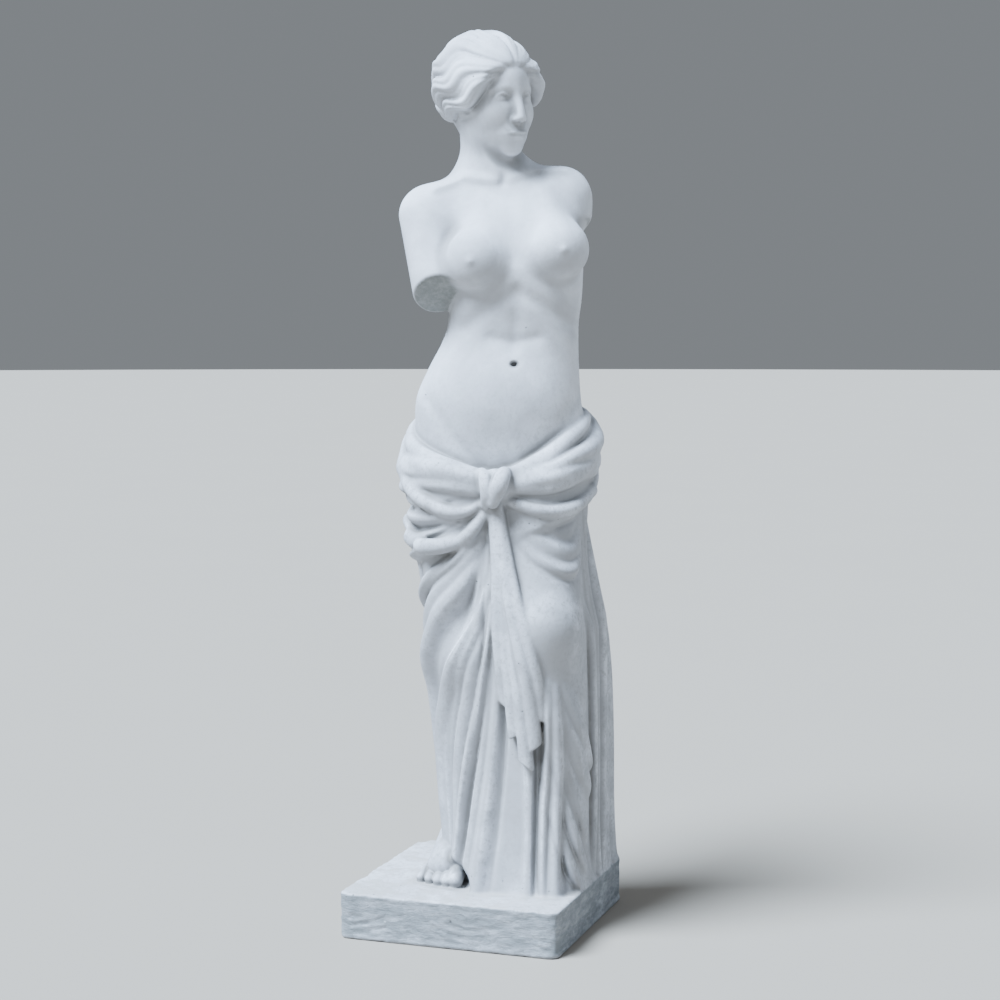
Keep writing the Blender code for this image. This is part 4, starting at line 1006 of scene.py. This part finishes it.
def cast_stone(finish):
    """Weathered white cast stone: mottled, with painted shade in its hollows and under its forms, pitted,
    rough where it is broken.
    """
    n = Nodes("weathered cast stone")
    where = n.add("ShaderNodeTexCoord").outputs["Object"]
    # Marks of the trowel run level along the plinth's sides
    squashed = n.add("ShaderNodeMapping")
    n.join(where, squashed.inputs["Vector"])
    squashed.inputs["Scale"].default_value = (1.0, 1.0, 3.2)
    level = squashed.outputs["Vector"]
    hollow, broken, underside_dirt_and_shade = n.mark("hollow"), n.mark("broken"), n.mark("underside_dirt_and_shade")
    side, top = n.mark("plinth_side"), n.mark("plinth_top")

    clouds = n.noise(where, 7.0, 5.0, 0.6, 0.4)
    patches = n.noise(where, 26.0, 6.0, 0.62, 0.3)
    specks = n.noise(where, 170.0, 5.0, 0.75)
    # Greyer below the waist
    height = n.add("ShaderNodeSeparateXYZ")
    n.join(where, height.inputs["Vector"])
    low = n.ramp(height.outputs["Z"], 0.52, 0.80, 1.0, 0.12)
    colour = n.blend(n.ramp(clouds, 0.38, 0.66, 0.0, 0.7), finish.stone, finish.shaded)
    greyed = n.times(low, n.ramp(patches, 0.38, 0.62, 0.30, 1.0))
    colour = n.blend(greyed, colour, finish.shaded)
    speckled = n.times(low, n.ramp(specks, 0.48, 0.64, 0.0, 0.45))
    colour = n.blend(speckled, colour, finish.grime_and_crease_shade)
    # Undersides greyed, partly as dirt that rain has not washed off and partly as painted shade under the
    # forms
    unwashed_and_shaded = n.times(n.ramp(underside_dirt_and_shade, 0.10, 0.95, 0.0, 0.80), n.ramp(clouds, 0.30, 0.62, 0.55, 1.0))
    colour = n.blend(unwashed_and_shaded, colour, finish.painted_shade_grey)
    # Painted shade: soft grey in every hollow, and in the deepest a darker tone, partly dirt and partly
    # painted crease shade, more where the patches are
    colour = n.blend(n.ramp(hollow, 0.03, 0.30, 0.0, 0.90), colour, finish.painted_shade_grey)
    gathered = n.times(n.ramp(hollow, 0.22, 0.58), n.ramp(patches, 0.25, 0.60, 0.45, 1.0))
    colour = n.blend(n.times(gathered, finish.crease_dirt_and_shade_amount), colour, finish.grime_and_crease_shade)
    dusty = n.times(top, n.ramp(patches, 0.40, 0.62, 0.25, 0.75))
    colour = n.blend(dusty, colour, finish.dust)
    # Raw mortar on the plinth's sides, and torn grains on the broken faces
    raw = n.times(side, n.ramp(n.noise(level, 30.0, 5.0, 0.65), 0.32, 0.62, 0.45, 0.95))
    colour = n.blend(raw, colour, finish.plinth_grey)
    grains = n.ramp(n.noise(where, 120.0, 5.0, 0.7), 0.35, 0.68)
    torn = n.blend(grains, finish.break_dark, finish.break_pale)
    colour = n.blend(n.times(broken, 0.92), colour, torn)
    # Small blowholes
    holes = n.times(n.ramp(n.cells(where, 75.0), 0.055, 0.10, 1.0, 0.0),
                    n.ramp(n.noise(where, 11.0, 2.0), 0.56, 0.64))
    colour = n.blend(n.times(holes, 0.85), colour, finish.break_dark)
    n.join(colour, n.shader.inputs["Base Color"])

    # Grain: fine and coarse all over, the blowholes, then the plinth's sides, the breaks and the plinth's top
    rough = n.bump(n.noise(where, 620.0, 3.0, 0.7), 0.0006, 0.30)
    rough = n.bump(n.noise(where, 95.0, 5.0, 0.6), 0.0016, 0.28, rough)
    rough = n.bump(n.maths("SUBTRACT", 1.0, holes), 0.0015, 0.8, rough)
    rough = n.bump(n.noise(level, 42.0, 6.0, 0.72, 0.8), 0.0045, n.times(side, 0.55), rough)
    rough = n.bump(n.noise(where, 110.0, 6.0, 0.7), 0.003, n.times(broken, 0.6), rough)
    rough = n.bump(n.noise(where, 60.0, 5.0, 0.65), 0.003, n.times(top, 0.45), rough)
    n.join(rough, n.shader.inputs["Normal"])
    n.shader.inputs["Roughness"].default_value = finish.roughness
    n.shader.inputs["Specular IOR Level"].default_value = 0.35
    return n.material


def length_of(name, description, default, low, high):
    return bpy.props.FloatProperty(
        name=name, description=description, default=default, min=low, max=high,
        subtype="DISTANCE", unit="LENGTH", precision=4)


def angle_of(name, description, degrees, low, high):
    return bpy.props.FloatProperty(
        name=name, description=description, default=math.radians(degrees), min=low, max=high,
        subtype="ANGLE", unit="ROTATION")


def share_of(name, description, default):
    return bpy.props.FloatProperty(
        name=name, description=description, default=default, min=0, max=1, subtype="FACTOR")


def strength_of(name, description, default):
    return bpy.props.FloatProperty(name=name, description=description, default=default, min=0, max=50)


def colour_of(name, description, red, green, blue):
    return bpy.props.FloatVectorProperty(
        name=name, description=description, default=(red, green, blue, 1.0), min=0, max=1,
        subtype="COLOR", size=4)


class StatueSizes(bpy.types.PropertyGroup):
    """Sizes and colours of the stone."""

    step: length_of("Carving step", "Spacing of the samples that the stone is cut from", 0.0017, 0.001, 0.01)
    quick_step: length_of("Quick carving step", "Coarser spacing for a quick look", 0.0034, 0.001, 0.02)
    triangles: bpy.props.IntProperty(
        name="Triangles", description="How many triangles the stone keeps",
        default=194000, min=5000, max=199000)
    rounding: length_of("Plinth edge", "Rounding of the plinth's worn edges", 0.004, 0.0, 0.02)
    stone: colour_of("Stone", "Clean cast stone", 0.80, 0.83, 0.90)
    shaded: colour_of("Mottling", "Greyer clouds in the stone", 0.45, 0.46, 0.495)
    # Painted shade: the grey laid into folds, hollows and undersides
    painted_shade_grey: colour_of("Hollows", "Soft grey in folds and under forms", 0.37, 0.37, 0.385)
    plinth_grey: colour_of("Plinth sides", "Trowelled mortar of the plinth's sides", 0.21, 0.225, 0.235)
    # Dark dirt colour: the specks use it as dirt, the deepest hollows as dirt and painted crease shade
    # together
    grime_and_crease_shade: colour_of("Grime", "Dirt held in the hollows", 0.21, 0.20, 0.19)
    crease_dirt_and_shade_amount: share_of("Grime amount", "How much dirt the hollows hold", 0.85)
    dust: colour_of("Dust", "Earth dust on top of the plinth", 0.52, 0.50, 0.49)
    break_pale: colour_of("Break, pale", "Pale grains in the broken faces", 0.27, 0.275, 0.265)
    break_dark: colour_of("Break, dark", "Dark pores in the broken faces and blowholes", 0.185, 0.19, 0.18)
    roughness: share_of("Roughness", "Roughness of the stone's surface", 0.82)


class StageSizes(bpy.types.PropertyGroup):
    """Floor, lights and camera."""

    floor: colour_of("Floor", "Colour of the floor", 0.37, 0.325, 0.275)
    floor_clouds: colour_of("Floor clouds", "Faint clouds on the floor", 0.33, 0.29, 0.245)
    sky_colour: colour_of("Sky colour", "Colour of the even light all round", 0.86, 0.93, 1.0)
    light_colour: colour_of("Light colour", "Colour of the key and the fill light", 0.64, 0.80, 1.0)
    sky: strength_of("Sky", "Strength of the even light all round", 0.25)
    key: strength_of("Key light", "Strength of the soft light from above", 16.5)
    fill: strength_of("Fill light", "Strength of the weak light from behind", 0.8)
    spread: angle_of("Spread", "How wide the soft light looks from the statue", 30, 0, math.pi)
    camera_away: length_of("Camera distance", "From the statue's axis to the camera", 2.75, 0.5, 20)
    camera_height: length_of("Camera height", "Height of the camera over the floor", 0.80, 0, 10)
    camera_bearing: angle_of(
        "Camera bearing", "How far right of the plinth's front the camera stands", 19.5, -math.pi, math.pi)
    lens: bpy.props.FloatProperty(
        name="Focal length", description="Of the camera, on 36 mm wide film",
        default=73.92, min=10, max=300, subtype="DISTANCE_CAMERA", unit="CAMERA")


class STATUE_OT_stone(bpy.types.Operator):
    """Carve the goddess and her plinth as one stone"""

    bl_idname = "statue.stone"
    bl_label = "Statue"
    bl_options = {"REGISTER", "UNDO"}

    def execute(self, context):
        sizes = context.scene.statue_sizes
        points, faces = carve(sizes.step, sizes.rounding)
        piece = bpy.data.objects.new("statue_stone", stone_mesh("statue_stone", points, faces))
        context.scene.collection.objects.link(piece)
        if 2 * len(faces) > sizes.triangles:
            thin_out(piece, sizes.triangles)
        keep_in_box(piece.data)
        piece.data.shade_smooth()
        mark_surface(piece.data, sizes.rounding)
        piece.data.materials.append(cast_stone(sizes))
        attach(piece, "root")
        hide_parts("statue")
        return {"FINISHED"}


# The stage in metres: the floor's radius, the points that the lights shine from towards the statue's foot,
# and what the camera looks at, to the right of the statue's axis and up. The film's width is in millimetres.
FLOOR_RADIUS = 40
KEY_PLACE = (-2.3, -2.9, 5.2)
FILL_PLACE = (3.0, 2.2, 2.4)
AIM_ASIDE = 0.021
AIM_HEIGHT = 0.573
FILM_WIDTH = 36.0


def add_floor(sizes):
    """A plain floor under the plinth, with faint clouds in its colour."""
    bpy.ops.object.select_all(action="DESELECT")
    bpy.ops.mesh.primitive_circle_add(
        vertices=96, radius=FLOOR_RADIUS, fill_type="NGON", location=(0, 0, CAD_LOW[2]))
    floor = bpy.context.object
    floor.name = "floor"
    n = Nodes("pale floor")
    where = n.add("ShaderNodeTexCoord").outputs["Object"]
    tone = n.ramp(n.noise(where, 1.5, 3.0), 0.3, 0.7, 0.0, 0.12)
    n.join(n.blend(tone, sizes.floor, sizes.floor_clouds), n.shader.inputs["Base Color"])
    n.shader.inputs["Roughness"].default_value = 0.9
    floor.data.materials.append(n.material)


def add_sky(sizes):
    """An even light from all round."""
    world = bpy.data.worlds.new("soft sky")
    world.use_nodes = True
    sky = world.node_tree.nodes["Background"]
    sky.inputs["Color"].default_value = sizes.sky_colour
    sky.inputs["Strength"].default_value = sizes.sky
    bpy.context.scene.world = world


def far_light(name, strength, spread, colour, place):
    """A wide soft light so far off that it lights the whole floor evenly."""
    light = bpy.data.lights.new(name, "SUN")
    light.energy = strength
    light.angle = spread
    light.color = colour[:3]
    lamp = bpy.data.objects.new(name, light)
    lamp.location = place
    lamp.rotation_euler = (-Vector(place)).to_track_quat("-Z", "Y").to_euler()
    bpy.context.scene.collection.objects.link(lamp)


def add_camera(sizes):
    """A camera at its bearing from the plinth's front, looking at the statue."""
    across = math.cos(sizes.camera_bearing), math.sin(sizes.camera_bearing)
    eye = Vector((sizes.camera_away * across[1], -sizes.camera_away * across[0], sizes.camera_height))
    aim = Vector((AIM_ASIDE * across[0], AIM_ASIDE * across[1], AIM_HEIGHT))
    camera = bpy.data.objects.new("camera", bpy.data.cameras.new("camera"))
    camera.data.sensor_width = FILM_WIDTH
    camera.data.lens = sizes.lens
    camera.location = eye
    camera.rotation_euler = (aim - eye).to_track_quat("-Z", "Y").to_euler()
    bpy.context.scene.collection.objects.link(camera)
    bpy.context.scene.camera = camera


class STATUE_OT_stage(bpy.types.Operator):
    """Add the plain floor, the soft lights and the camera"""

    bl_idname = "statue.stage"
    bl_label = "Stage"
    bl_options = {"REGISTER", "UNDO"}

    def execute(self, context):
        sizes = context.scene.statue_stage
        add_floor(sizes)
        add_sky(sizes)
        far_light("key", sizes.key, sizes.spread, sizes.light_colour, KEY_PLACE)
        far_light("fill", sizes.fill, 2 * sizes.spread, sizes.light_colour, FILL_PLACE)
        add_camera(sizes)
        return {"FINISHED"}


class STATUE_PT_panel(bpy.types.Panel):
    """Lists the pieces with their sizes"""

    bl_label = "Goddess statue"
    bl_idname = "STATUE_PT_panel"
    bl_space_type = "VIEW_3D"
    bl_region_type = "UI"
    bl_category = "Statue"

    def draw(self, context):
        for group, operator in (("statue_sizes", "statue.stone"), ("statue_stage", "statue.stage")):
            sizes = getattr(context.scene, group)
            box = self.layout.box()
            box.operator(operator)
            for name in sizes.__annotations__:
                box.prop(sizes, name)


CLASSES = (StatueSizes, StageSizes, STATUE_OT_stone, STATUE_OT_stage, STATUE_PT_panel)


def register():
    for entry in CLASSES:
        bpy.utils.register_class(entry)
    bpy.types.Scene.statue_sizes = bpy.props.PointerProperty(type=StatueSizes)
    bpy.types.Scene.statue_stage = bpy.props.PointerProperty(type=StageSizes)


def unregister():
    del bpy.types.Scene.statue_sizes
    del bpy.types.Scene.statue_stage
    for entry in reversed(CLASSES):
        bpy.utils.unregister_class(entry)


def main():
    register()
    bpy.ops.statue.stage()
    bpy.ops.statue.stone()
    bpy.context.view_layer.update()


if __name__ == "__main__":
    main()
